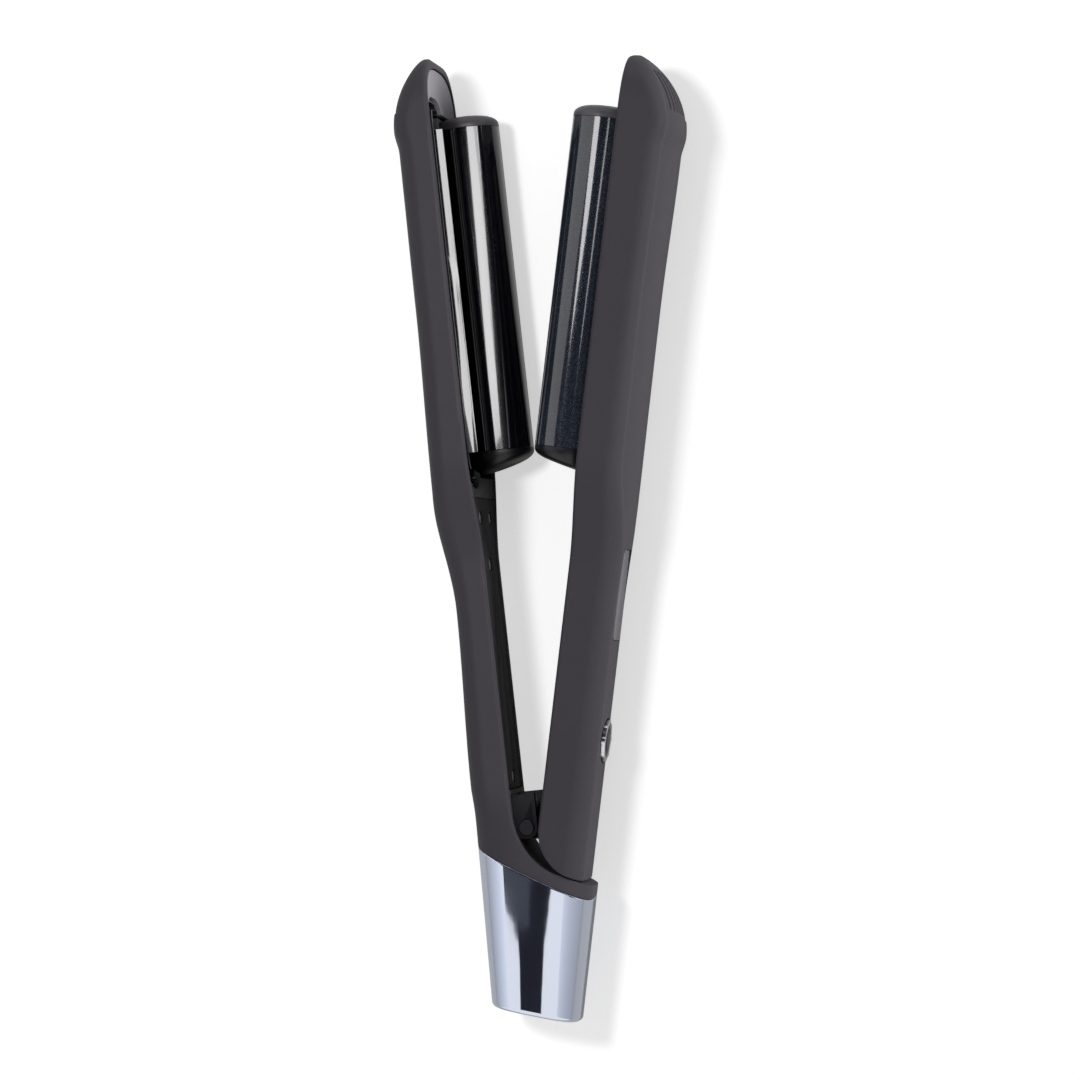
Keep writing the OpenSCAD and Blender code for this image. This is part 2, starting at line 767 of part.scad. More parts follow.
module thermal_fuse(s) {
    color(metal_colour) on_arm(s) along_barrel(barrel_y + heater_start + 14) {
        translate([-sensor_off, 0, 0]) cylinder(r = fuse_r, h = 11, $fn = bore_fn);
        translate([-sensor_off, 0, -7]) cylinder(r = 0.5, h = 25, $fn = bore_fn);
    }
}
module left_thermal_fuse() { thermal_fuse(LEFT); }
module right_thermal_fuse() { thermal_fuse(RIGHT); }

module left_cover_screws() { cover_screws(LEFT); }
module right_cover_screws() { cover_screws(RIGHT); }

// ---------- hinge ----------

web_x = 5;

module left_hinge_bracket() {
    color(gloss_colour) on_arm(LEFT) difference() {
        union() {
            for (z = [-cheek_out, cheek_out - cheek_t]) translate([0, 0, z])
                linear_extrude(cheek_t) union() {
                    circle(r = knuckle_r, $fn = bore_fn);
                    translate([-knuckle_r, 0]) square([knuckle_r + bracket_depth, cheek_top]);
                    translate([0, -knuckle_r]) square([bracket_depth, knuckle_r + 1]);
                }
            translate([web_x, -knuckle_r, -cheek_out])
                cube([bracket_depth - web_x, knuckle_r + cheek_top, 2 * cheek_out]);
        }
        translate([0, 0, -20]) cylinder(r = pin_r + 0.02, h = 40, $fn = bore_fn);
    }
}

knuckle_out = cheek_out - cheek_t - side_play;

module right_hinge_bracket() {
    color(gloss_colour) on_arm(RIGHT) difference() {
        union() {
            for (z = [-knuckle_out, spring_bay]) translate([0, 0, z])
                linear_extrude(knuckle_out - spring_bay) union() {
                    circle(r = knuckle_r, $fn = bore_fn);
                    translate([0, -knuckle_r]) square([bracket_depth, knuckle_r + 7]);
                }
            translate([web_x, -knuckle_r, -knuckle_out])
                cube([bracket_depth - web_x, knuckle_r + 7, 2 * knuckle_out]);
        }
        translate([0, 0, -20]) cylinder(r = pin_r + pin_play, h = 40, $fn = bore_fn);
    }
}

module hinge_pin() {
    color(chrome_colour) at_pin() {
        translate([0, 0, -cheek_out - 1.4]) cylinder(r = pin_r, h = 2 * cheek_out + 1.4, $fn = bore_fn);
        translate([0, 0, cheek_out]) cylinder(r = pin_head_r, h = 1, $fn = bore_fn);
    }
}

module pin_clip() {
    color(metal_colour) at_pin() translate([0, 0, -cheek_out - 0.75]) difference() {
        cylinder(r = pin_head_r, h = 0.7, $fn = bore_fn);
        translate([0, 0, -1]) cylinder(r = pin_r + 0.02, h = 3, $fn = bore_fn);
        translate([-0.6, 0, -1]) cube([1.2, 10, 3]);
    }
}

spring_r = pin_r + 0.25 + spring_wire_r;
spring_pitch = 1.8 * spring_wire_r;
spring_turns = floor(2 * (spring_bay - 0.3 - spring_wire_r) / spring_pitch) + 1;
leg_r = 0.8 * spring_wire_r;

// The turns lie close, so the coil is one revolved row of circles
module arm_spring() {
    color(metal_colour) at_pin() {
        rotate_extrude($fn = bore_fn) for (k = [0:spring_turns - 1])
            translate([spring_r, (k - (spring_turns - 1) / 2) * spring_pitch])
                circle(r = spring_wire_r, $fn = 24);
        rotate([0, 0, open_half]) translate([-web_x + 0.12, spring_r, 0]) rotate([0, 90, 0])
            cylinder(r = leg_r, h = web_x - 0.12, $fn = 24);
    }
}

// ---------- tail ----------

module tail_cap() {
    color(chrome_colour) difference() {
        tail_form(0, 0, seam_y - 0.12);
        skin([
            tail_ring(3, end_slope, 0, cap_wall),
            tail_ring(seam_y + 3, seam_slope, seam_lean, cap_wall)
        ]);
        at_inlet(-20) cylinder(r = bushing_r + 0.05, h = 40, $fn = bore_fn);
    }
}

module at_inlet(y) {
    translate([0, y, 0]) rotate([-90, 0, 0]) children();
}

bushing_y = 0.6;

module gland_bushing() {
    color(housing_colour) at_inlet(bushing_y) difference() {
        union() {
            cylinder(r = bushing_r, h = bushing_len, $fn = bore_fn);
            translate([0, 0, 5]) cylinder(r = bushing_r + 1.2, h = bushing_len - 5, $fn = bore_fn);
        }
        translate([0, 0, -1]) cylinder(r = gland_r + gland_play, h = 20, $fn = bore_fn);
    }
}

module cord_gland() {
    color(housing_colour) at_inlet(0) difference() {
        union() {
            cylinder(r = gland_r, h = gland_len, $fn = bore_fn);
            translate([0, 0, bushing_y + bushing_len + 0.2])
                cylinder(r = gland_flange_r, h = 1.6, $fn = bore_fn);
        }
        translate([0, 0, -1]) cylinder(r = cord_r, h = gland_len + 2, $fn = bore_fn);
    }
}

// ---------- controls ----------

back_x = rim_x + right_grip_t;

// The window's outline, a slot with round corners, between two heights
module window_shape(gap, x0, x1) {
    r = 2.5;
    translate([x0, display_y - gap, -display_w / 2 - gap])
        rotate([90, 0, 90]) linear_extrude(x1 - x0) {
            w = display_len + 2 * gap;
            h = display_w + 2 * gap;
            translate([r, 0]) square([w - 2 * r, h]);
            translate([0, r]) square([w, h - 2 * r]);
            for (x = [r, w - r]) for (y = [r, h - r]) translate([x, y]) circle(r = r, $fn = 32);
        }
}

module display_window() {
    color([0.5, 0.49, 0.54]) on_arm(RIGHT) intersection() {
        window_shape(0, back_x - 6, back_x + 2);
        translate([back_x - crown_r, display_y - 1, 0]) rotate([-90, 0, 0]) difference() {
            cylinder(r = crown_r, h = display_len + 2, $fn = 180);
            translate([0, 0, -1]) cylinder(r = crown_r - display_t, h = display_len + 4, $fn = 180);
        }
    }
}

module display_module() {
    color(gloss_colour) on_arm(RIGHT)
        translate([board_x + board_t, display_y + 1.5, -display_w / 2 + 1.2])
            cube([back_x - board_x - board_t - display_t - 0.9, display_len - 3, display_w - 2.4]);
}

board_start = dial_y - 11;
board_end = display_y + display_len + 2;

module control_board() {
    color(board_colour) on_arm(RIGHT) {
        translate([board_x, board_start, -board_w / 2])
            cube([board_t, board_end - board_start, board_w]);
        translate([board_x - 3.4, board_start + 4, -6]) cube([3.4, 12, 12]);
        translate([board_x - 2, board_start + 24, -4]) cube([2, 9, 8]);
        translate([board_x - 3, board_start + 42, 0]) rotate([0, 90, 0])
            cylinder(r = 3.4, h = 3, $fn = bore_fn);
    }
}

encoder_w = 13;
encoder_top = back_x - 5;

module at_dial(x) {
    translate([x, dial_y, 0]) rotate([0, 90, 0]) children();
}

module dial_encoder() {
    color(metal_colour) on_arm(RIGHT) at_dial(board_x + board_t) difference() {
        translate([-encoder_w / 2, -encoder_w / 2, 0])
            cube([encoder_w, encoder_w, encoder_top - board_x - board_t]);
        translate([0, 0, -1]) cylinder(r = button_r + button_gap, h = 20, $fn = bore_fn);
    }
}

button_base = board_x + board_t + 1.6 + button_travel + 0.1;

module button_switch() {
    color(gloss_colour) on_arm(RIGHT) at_dial(board_x + board_t) {
        cylinder(r = button_r - 0.5, h = 1.2, $fn = bore_fn);
        cylinder(r = 1.4, h = 1.6, $fn = bore_fn);
    }
}

module temperature_dial() {
    color(housing_colour) on_arm(RIGHT) at_dial(encoder_top + 0.2) difference() {
        union() {
            cylinder(r = button_r + button_gap + 1.2, h = back_x - encoder_top - 1.2, $fn = bore_fn);
            translate([0, 0, back_x - encoder_top - 2.2])
                cylinder(r = dial_r - 0.6, h = 1.6, $fn = bore_fn);
            translate([0, 0, back_x - encoder_top - 2.2])
                cylinder(r = dial_r - dial_rim_w - 0.05, h = 1.8 + dial_proud, $fn = bore_fn);
        }
        translate([0, 0, -1]) cylinder(r = button_r + button_gap, h = 20, $fn = bore_fn);
    }
}

lobe_r = 2;

module dial_rim() {
    color(chrome_colour) on_arm(RIGHT) at_dial(back_x - 0.4) linear_extrude(dial_proud + 0.4)
        difference() {
            union() {
                circle(r = dial_r - lobe_r * 0.45, $fn = bore_fn);
                for (k = [0:dial_lobes - 1]) rotate(k * 360 / dial_lobes)
                    translate([dial_r - lobe_r, 0]) circle(r = lobe_r, $fn = 32);
            }
            circle(r = dial_r - dial_rim_w, $fn = bore_fn);
        }
}

module power_button() {
    top = back_x + dial_proud + 0.2;
    color(housing_colour) on_arm(RIGHT) at_dial(button_base) rotate_extrude($fn = bore_fn) union() {
        square([button_r, top - button_base - 0.6]);
        square([button_r - 0.6, top - button_base]);
        translate([button_r - 0.6, top - button_base - 0.6]) circle(r = 0.6, $fn = 32);
    }
}

left_housing();
left_handle_cover();
left_head_frame();
left_trough();
left_barrel();
left_tip_cap();
left_root_cap();
left_heat_spreader();
left_ceramic_heater();
left_thermistor();
left_thermal_fuse();
left_cover_screws();
left_hinge_bracket();
hinge_pin();
pin_clip();
arm_spring();
tail_cap();
gland_bushing();
cord_gland();
right_housing();
right_handle_cover();
right_head_frame();
right_trough();
right_barrel();
right_tip_cap();
right_root_cap();
right_heat_spreader();
right_ceramic_heater();
right_thermistor();
right_thermal_fuse();
right_cover_screws();
right_hinge_bracket();
control_board();
display_module();
display_window();
dial_encoder();
button_switch();
temperature_dial();
dial_rim();
power_button();
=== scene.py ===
import json
import math

import bmesh
import bpy
import numpy as np
from mathutils import Matrix, Vector


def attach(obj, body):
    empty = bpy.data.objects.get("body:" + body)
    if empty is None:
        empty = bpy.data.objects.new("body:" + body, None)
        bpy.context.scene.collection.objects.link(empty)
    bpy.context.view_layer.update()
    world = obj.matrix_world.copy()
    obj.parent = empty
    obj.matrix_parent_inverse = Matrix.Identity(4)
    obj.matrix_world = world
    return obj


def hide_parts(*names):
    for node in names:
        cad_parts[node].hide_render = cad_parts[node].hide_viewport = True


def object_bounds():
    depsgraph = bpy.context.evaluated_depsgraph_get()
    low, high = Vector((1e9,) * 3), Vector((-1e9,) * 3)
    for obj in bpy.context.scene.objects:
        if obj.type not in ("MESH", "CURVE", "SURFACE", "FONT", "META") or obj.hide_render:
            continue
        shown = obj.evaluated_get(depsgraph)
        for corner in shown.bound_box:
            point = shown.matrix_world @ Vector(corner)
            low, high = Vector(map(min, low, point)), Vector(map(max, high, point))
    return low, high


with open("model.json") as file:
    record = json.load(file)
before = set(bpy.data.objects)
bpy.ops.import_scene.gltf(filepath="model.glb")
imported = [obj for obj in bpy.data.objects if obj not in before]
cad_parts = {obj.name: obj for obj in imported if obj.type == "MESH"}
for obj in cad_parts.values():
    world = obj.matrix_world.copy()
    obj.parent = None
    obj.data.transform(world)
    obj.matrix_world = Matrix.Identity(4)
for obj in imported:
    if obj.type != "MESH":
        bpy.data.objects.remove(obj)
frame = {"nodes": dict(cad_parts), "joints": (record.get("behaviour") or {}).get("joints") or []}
cad_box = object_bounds()


# ---------------------------------------------------------------- arm housings
# Each arm is a thin shell moulded in dark nylon and sprayed with a soft-touch coat. Its back is
# crowned, its long edges are rounded and its nose swells past a small step. The left shell runs
# on below the hinge as the heel, which sweeps under the right shell's foot.

HINGE = next(joint for joint in frame["joints"] if joint["name"] == "arm_hinge")
PIN = Vector(HINGE["pos_m"])
OPEN_HALF = math.radians(HINGE["range_deg"][1]) / 2

# Heights x over the closing plane, distances y from the hinge pin, half-widths z
RIM_X = 0.0042
HEAD_HALF = 0.0255
HANDLE_HALF = 0.015
HANDLE_Y = 0.088
HEAD_Y = 0.124
HEEL_Y = 0.014
BARREL_Y = 0.1255
BARREL_END = 0.234
TIP_CAP_LEN = 0.0044
ARM_LEN = BARREL_END + TIP_CAP_LEN + 0.0186
NOSE_LEN = 0.024
NOSE_ROUND = 0.020
TIP_ROUND = 0.0026
STEP_LEN = 0.007
STEP_DEPTH = 0.001
SWELL_Y = ARM_LEN - NOSE_LEN
GRIP_LIP = 0.0048
GRIP_START = SWELL_Y + GRIP_LIP + 0.0004
GRIP_SINK = 0.00035
WALL = 0.0017
LEDGE = 0.0009
CROWN_R = 0.068
HEAD_EDGE = 0.0055
HANDLE_EDGE = 0.007
RIM_ROUND = 0.0007
COVER_X = RIM_X + 0.0005
COVER_T = 0.0018
CAVITY_X = COVER_X + COVER_T
RING_POINTS = 132
NOSE_FULLNESS = 2.8

# At the heel, the grip, the shoulder, the head and the tip, with the roundness of the nose
ARMS = {
    "left": {"thick": (0.014, 0.0124, 0.0162, 0.0151, 0.0159), "power": 0.95},
    "right": {"thick": (0.0167, 0.0167, 0.0176, 0.0174, 0.0193), "power": 0.75},
}


def ease(t):
    t = np.clip(t, 0.0, 1.0)
    return t * t * (3 - 2 * t)


def along(keys, values, y):
    """A smooth line through the values at the keys."""
    out = np.full(np.shape(y), values[0])
    for k in range(len(keys) - 1):
        out = out + (values[k + 1] - values[k]) * ease((y - keys[k]) / (keys[k + 1] - keys[k]))
    return out


def thickness(side, y):
    heel, grip, shoulder, head, tip = ARMS[side]["thick"]
    step_y = SWELL_Y - STEP_LEN
    keys = (HEEL_Y, HANDLE_Y - 0.014, HEAD_Y - 0.014, (HEAD_Y + step_y) / 2, step_y, SWELL_Y,
            SWELL_Y + GRIP_LIP, GRIP_START)
    values = (heel, grip, shoulder, head, tip - STEP_DEPTH, tip, tip, tip - GRIP_SINK)
    body = along(keys, values, y)
    nose = np.clip((y - SWELL_Y) / NOSE_LEN, 0, 1)
    return float(TIP_ROUND + (body - TIP_ROUND) * (1 - nose ** 2) ** ARMS[side]["power"])


def rim_at(y):
    """Height of the rim, which curves up at the tip."""
    past = max(0.0, y - ARM_LEN + TIP_ROUND)
    return RIM_X + TIP_ROUND - math.sqrt(TIP_ROUND ** 2 - past ** 2)


def half_width(y, inset=0.0):
    nose = np.clip((y - ARM_LEN + NOSE_ROUND) / (NOSE_ROUND - 2 * inset), 0, 1)
    wider = ease((y - HANDLE_Y) / (HEAD_Y - HANDLE_Y))
    body = HANDLE_HALF - inset + (HEAD_HALF - HANDLE_HALF) * wider
    return float(body * (1 - nose ** NOSE_FULLNESS) ** (1 / NOSE_FULLNESS))


def section(side, y, inset, base):
    """Rows (x, z) of a cross-section, from the rim at +z over the crown to the rim at -z."""
    a = max(0.0004, half_width(y, inset))
    top = RIM_X + max(0.0003, thickness(side, y) - inset)
    wider = float(ease((y - HANDLE_Y) / (HEAD_Y - HANDLE_Y)))
    f = HANDLE_EDGE + (HEAD_EDGE - HANDLE_EDGE) * wider - inset
    f = min(max(0.0003, f), (top - base) * 0.45, a * 0.45)
    flat = a - f
    drop = min(flat * flat / (2 * CROWN_R), (top - base) * 0.4)
    edge = top - drop
    wall = [(x, a) for x in np.linspace(base, edge - f, 14)]
    turn = np.radians(np.arange(84, 0, -6))
    fillet = [(edge - f * (1 - math.cos(q)), flat + f * math.sin(q)) for q in turn]
    crown = [(top - drop * k * k, flat * k) for k in np.linspace(1, 0, 31)]
    half = np.array(wall + fillet + crown)
    return np.concatenate([half, half[-2::-1] * (1, -1)])


def round_rim(curve, base, radius):
    """Rounds the corners between the side walls and the rim."""
    curve = curve.copy()
    near = np.clip(radius - (curve[:, 0] - base), 0, radius)
    cut = radius - np.sqrt(radius ** 2 - near ** 2)
    curve[:, 1] -= np.sign(curve[:, 1]) * np.minimum(cut, np.abs(curve[:, 1]))
    return curve


def evenly(curve, count):
    """The same curve as a number of points at even steps."""
    steps = np.linalg.norm(np.diff(curve, axis=0), axis=1)
    run = np.concatenate([[0], np.cumsum(steps)])
    want = np.linspace(0, run[-1], count)
    return np.stack([np.interp(want, run, column) for column in curve.T], 1)


def on_arm(side, points):
    """Points drawn from the hinge pin, put where an open arm lies."""
    x, y, z = np.asarray(points, float).T
    c, s = math.cos(OPEN_HALF), math.sin(OPEN_HALF)
    turn = 1 if side == "right" else -1
    return np.stack([turn * (x * c + y * s) + PIN.x, -x * s + y * c + PIN.y, turn * z], 1)


def solid(name, points, faces):
    """A closed piece, with doubles merged and its faces turned outwards."""
    mesh = bpy.data.meshes.new(name)
    mesh.from_pydata(np.asarray(points).tolist(), [], faces)
    build = bmesh.new()
    build.from_mesh(mesh)
    bmesh.ops.remove_doubles(build, verts=build.verts, dist=0.000002)
    bmesh.ops.dissolve_degenerate(build, edges=build.edges, dist=0.0000005)
    bmesh.ops.recalc_face_normals(build, faces=build.faces)
    build.to_mesh(mesh)
    build.free()
    obj = bpy.data.objects.new(name, mesh)
    bpy.context.collection.objects.link(obj)
    return obj


def strips(count, size, closed=False):
    """The faces between rings of the same length."""
    faces = []
    for i in range(count if closed else count - 1):
        near, far = i * size, (i + 1) % count * size
        for j in range(size):
            k = (j + 1) % size
            faces.append((near + j, near + k, far + k, far + j))
    return faces


def skin(name, rings, closed=False):
    """A solid through rings of the same length, with flat ends or joined to a loop."""
    count, size = len(rings), len(rings[0])
    faces = strips(count, size, closed)
    if not closed:
        faces.append(tuple(range(size))[::-1])
        faces.append(tuple((count - 1) * size + j for j in range(size)))
    return solid(name, np.concatenate(rings), faces)


def lay(obj, side):
    """Moves a piece drawn from the hinge pin to its arm."""
    flat = np.empty(len(obj.data.vertices) * 3)
    obj.data.vertices.foreach_get("co", flat)
    obj.data.vertices.foreach_set("co", on_arm(side, flat.reshape(-1, 3)).ravel())
    obj.data.update()
    return obj


def settle(obj):
    """Applies a piece's modifiers, so that its mesh is a plain one."""
    graph = bpy.context.evaluated_depsgraph_get()
    mesh = bpy.data.meshes.new_from_object(obj.evaluated_get(graph))
    obj.modifiers.clear()
    obj.data = mesh
    return obj


def carve(obj, *others, mode="DIFFERENCE", solver="EXACT"):
    """Cuts other pieces out of a piece, or joins them to it, one after the other."""
    for other in others:
        cut = obj.modifiers.new("cut", "BOOLEAN")
        cut.operation = mode
        cut.solver = solver
        cut.object = other
        settle(obj)
        bpy.data.objects.remove(other)
    return obj


def bevel(obj, width):
    """Breaks a piece's sharp edges."""
    edge = obj.modifiers.new("edge", "BEVEL")
    edge.width = width
    edge.segments = 2
    edge.limit_method = "ANGLE"
    edge.angle_limit = math.radians(35)
    edge.use_clamp_overlap = True
    return settle(obj)


def soften(obj, angle=32):
    """Smooth shading that keeps the edges sharper than the angle."""
    obj.data.shade_smooth()
    obj.data.set_sharp_from_angle(angle=math.radians(angle))
    return obj


def block(name, low, high):
    """A box between two corners."""
    points = [(x, y, z) for x in (low[0], high[0]) for y in (low[1], high[1])
              for z in (low[2], high[2])]
    faces = [(0, 1, 3, 2), (4, 6, 7, 5), (0, 4, 5, 1), (2, 3, 7, 6), (0, 2, 6, 4), (1, 5, 7, 3)]
    return solid(name, points, faces)


def circle(count):
    """Angles at even steps all the way round."""
    return np.arange(count) * 2 * math.pi / count


def turned(name, profile, axis, segments):
    """A closed profile of rows (radius, height) turned about an axis."""
    return skin(name, np.array([[axis(r * math.cos(q), r * math.sin(q), h) for r, h in profile]
                                for q in circle(segments)]), closed=True)


def plug(name, r, ends, axis, segments=48):
    """A round bar along an axis, from one height to another."""
    return skin(name, [np.array([axis(r * math.cos(q), r * math.sin(q), h)
                                 for q in circle(segments)]) for h in ends])


def lathe(name, profile, middle=(0, 0)):
    """A closed profile of rows (radius, y) turned about a line along y."""
    return turned(name, profile, lambda a, b, y: (middle[0] + a, y, middle[1] + b), 192)


def slab(name, edge, x0, x1):
    """A plate between two heights, from its outline in rows (y, z)."""
    return skin(name, [np.array([(x, y, z) for y, z in edge]) for x in (x0, x1)])


def body_stations():
    """Stations from the heel to the tip, closer together at the nose."""
    body = np.arange(HEEL_Y, SWELL_Y - 0.012, 0.002)
    swell = np.arange(SWELL_Y - 0.012, SWELL_Y, 0.0008)
    nose = SWELL_Y + NOSE_LEN * np.sin(np.radians(np.arange(0, 88, 2.5)))
    lip = SWELL_Y + GRIP_LIP + np.array((-0.00012, 0.00002, 0.0001, 0.0002, 0.0003, 0.00038,
                                         0.0005))
    nose = nose[(nose < lip[0] - 0.0002) | (nose > lip[-1] + 0.0002)]
    tip = [ARM_LEN - 0.00006, ARM_LEN - 0.00001]
    return np.sort(np.concatenate([body, swell, nose, lip, tip]))


def arm_ring(side, y):
    base = rim_at(y)
    radius = min(RIM_ROUND + 0.0012 * max(0, (y - SWELL_Y) / NOSE_LEN), 0.4 * half_width(y))
    ring = evenly(round_rim(section(side, y, 0, base), base, radius), RING_POINTS)
    return np.insert(ring, 1, y, axis=1)


def hollow(side):
    end = ARM_LEN - 2.1 * (WALL + LEDGE)
    stations = [HEEL_Y] + [y for y in body_stations() if HEEL_Y + 0.001 < y < end - 0.0002] + [end]
    return skin("hollow", [np.insert(section(side, y, WALL + LEDGE, CAVITY_X), 1, y, axis=1)
                           for y in stations])


def cover_edge(y0, y1, inset):
    """Outline of the inner covers in rows (y, z)."""
    start, reach = ARM_LEN - NOSE_ROUND, NOSE_ROUND - 2 * inset
    last = min(y1, start) - 0.001
    ys = [y0] + [y for y in np.arange(HEEL_Y, start, 0.002) if y0 + 0.001 < y < last]
    ys += [y1] if y1 < start else list(start + reach * np.sin(np.radians(np.arange(0, 90, 3))))
    half = [(y, half_width(y, inset)) for y in ys]
    return half + [(y, -z) for y, z in half[::-1]]


# The right shell's foot, a round inner corner and a slope that follow the heel with a gap
FOOT_R = 0.015
FOOT_GAP = 0.00045
FOOT_EDGE = 0.0008
HEEL_R = 0.024
HEEL_SLOPE = math.radians(20)
HEEL_C = np.array((PIN.x + 0.0192, PIN.y + 0.00715))
SWEEP_END = math.radians(270) - HEEL_SLOPE


def foot_height(x):
    """Height y of the foot's lower edge at a distance x."""
    normal = np.array((math.cos(SWEEP_END), math.sin(SWEEP_END)))
    cx = PIN.x + RIM_X + FOOT_R
    off = HEEL_R - FOOT_GAP - FOOT_R
    cy = HEEL_C[1] + (off - (cx - HEEL_C[0]) * normal[0]) / normal[1]
    touch = np.array((cx, cy)) + FOOT_R * normal
    arc = cy - np.sqrt(np.maximum(FOOT_R ** 2 - (x - cx) ** 2, 0))
    return np.where(x < touch[0], arc, touch[1] - (x - touch[0]) * math.tan(HEEL_SLOPE))


def foot_rings():
    """Rings from the foot's lowest edge up: each line along the arm ends on the foot's curve."""
    top = arm_ring("right", HEEL_Y)
    low, high = np.full(len(top), -0.04), np.full(len(top), HEEL_Y)
    for _ in range(36):
        middle = (low + high) / 2
        points = on_arm("right", np.stack([top[:, 0], middle, top[:, 2]], 1))
        over = points[:, 1] > foot_height(points[:, 0])
        high, low = np.where(over, middle, high), np.where(over, low, middle)
    centre = np.array((top[:, 0].mean(), 0))
    rings = []
    for lift in (0, 0.03, 0.12, 0.3, 0.6, 1):
        cut = FOOT_EDGE * (1 - math.sqrt(1 - (1 - lift) ** 2))
        out = top[:, [0, 2]] - centre
        out *= (1 - cut / np.linalg.norm(out, axis=1))[:, None]
        rings.append(np.stack([out[:, 0] + centre[0], high + lift * FOOT_EDGE, out[:, 1]], 1))
    for share in (0.25, 0.5, 0.75):
        rings.append(rings[5] + (top - rings[5]) * share)
    return [on_arm("right", ring) for ring in rings]


def folded(name, rings):
    """A solid through rings whose first end is closed by strips across, so that it can curve."""
    size = len(rings[0])
    faces = strips(len(rings), size)
    half = size // 2
    faces += [(j, j + 1, size - 2 - j, size - 1 - j) for j in range(half - 1)]
    faces.append(tuple((len(rings) - 1) * size + j for j in range(size)))
    return solid(name, np.concatenate(rings), faces)


# The tail's outside, a rounded oblong that widens upwards, and the seam where the heel ends
TAIL_END = (0.0294, 0.025)
TAIL_TOP = (0.042, 0.030)
TAIL_DRIFT = 0.0005
TAIL_POWER = 0.66
SEAM_SLOPE = math.radians(24.2)
SEAM_LEAN = math.radians(6)
SEAM_Y = 0.0472
CAP_WALL = 0.0016
SEAM_EDGE = 0.0003
BLEND_Y = 0.058
BLEND_LEN = 0.018
PLUG_LEN = 0.009
PLUG_GAP = 0.00015


def tail_sizes(y):
    """The tail's middle and its half-widths along x and z."""
    share = y / PIN.y
    return (TAIL_DRIFT * share, (TAIL_END[0] + (TAIL_TOP[0] - TAIL_END[0]) * share) / 2,
            (TAIL_END[1] + (TAIL_TOP[1] - TAIL_END[1]) * share) / 2)


def round_oblong(q, power):
    return (np.sign(np.cos(q)) * np.abs(np.cos(q)) ** power,
            np.sign(np.sin(q)) * np.abs(np.sin(q)) ** power)


def even_angles(count):
    """Angles that give even steps round the tail, from its right-hand end over the far side."""
    q = -np.linspace(0, 2 * math.pi, 4001)
    x, z = round_oblong(q, TAIL_POWER)
    steps = np.hypot(np.diff(x * TAIL_TOP[0]), np.diff(z * TAIL_TOP[1]))
    run = np.concatenate([[0], np.cumsum(steps)])
    return np.interp(np.linspace(0, run[-1], count), run, q)


def tail_ring(mid_y, slope, lean, inset, angles):
    """Ring of the tail's outside on a sloping plane."""
    y = np.full(len(angles), mid_y)
    for _ in range(5):
        mid, a, b = tail_sizes(y)
        x, z = round_oblong(angles, TAIL_POWER)
        x, z = mid + (a - inset) * x, (b - inset) * z
        y = mid_y - x * math.tan(slope) - z * math.tan(lean)
    return np.stack([x, y, z], 1)


def in_tail(p):
    """How far inside the tail's outside a point lies."""
    mid, a, b = tail_sizes(p[..., 1])
    power = 2 / TAIL_POWER
    rho = (np.abs((p[..., 0] - mid) / a) ** power + np.abs(p[..., 2] / b) ** power) ** (1 / power)
    return (1 - rho) * (a + b) / 2


def in_left_arm(p):
    """How far inside the left arm's back and side walls a point lies."""
    c, s = math.cos(OPEN_HALF), math.sin(OPEN_HALF)
    x = -(p[..., 0] - PIN.x) * c - (p[..., 1] - PIN.y) * s
    z = np.abs(p[..., 2])
    flat = HANDLE_HALF - HANDLE_EDGE
    drop = flat ** 2 / (2 * CROWN_R)
    top = RIM_X + ARMS["left"]["thick"][0]
    x_over = x - (top - drop * np.minimum(z / flat, 1) ** 2 - HANDLE_EDGE)
    z_over = z - flat
    outside = np.hypot(np.maximum(x_over, 0), np.maximum(z_over, 0))
    return HANDLE_EDGE - outside - np.minimum(np.maximum(x_over, z_over), 0)


def in_heel(p):
    """How far inside the heel a point lies, which blends from the tail into the arm."""
    share = ease((p[..., 1] - BLEND_Y) / BLEND_LEN)
    return in_tail(p) * (1 - share) + in_left_arm(p) * share


def edge_of(inside, near, far):
    """Where a line leaves the heel, from a place inside it and one outside."""
    for _ in range(36):
        middle = (near + far) / 2
        held = inside(middle) > 0
        near, far = np.where(held, middle, near), np.where(held, far, middle)
    return near


def heel_ring(root, across):
    """Outline of the heel in the plane through a point of its sweep."""
    def at(u, z):
        u, z = np.broadcast_arrays(u, z)
        return np.stack([root[0] + u * across[0], root[1] + u * across[1], z], -1)

    corner = float(edge_of(lambda z: in_heel(at(0.0, z)), 0.0, 0.03))
    reach = np.linspace(0, 0.05, 400)
    centre = reach[in_heel(at(reach, 0.0)) > 0].max() / 2
    turn = np.linspace(math.atan2(corner, -centre), 0, 160)
    ray = edge_of(lambda r: in_heel(at(centre + r * np.cos(turn), r * np.sin(turn))),
                  np.zeros(len(turn)), np.full(len(turn), 0.06))
    half = np.stack([np.maximum(centre + ray * np.cos(turn), 0), ray * np.sin(turn)], 1)
    half[0] = (0, corner)
    half[-1, 1] = 0
    whole = np.concatenate([half, half[-2::-1] * (1, -1)])
    ring = evenly(round_rim(whole, 0, min(RIM_ROUND, corner / 2)), RING_POINTS)
    return at(ring[:, 0], -ring[:, 1])


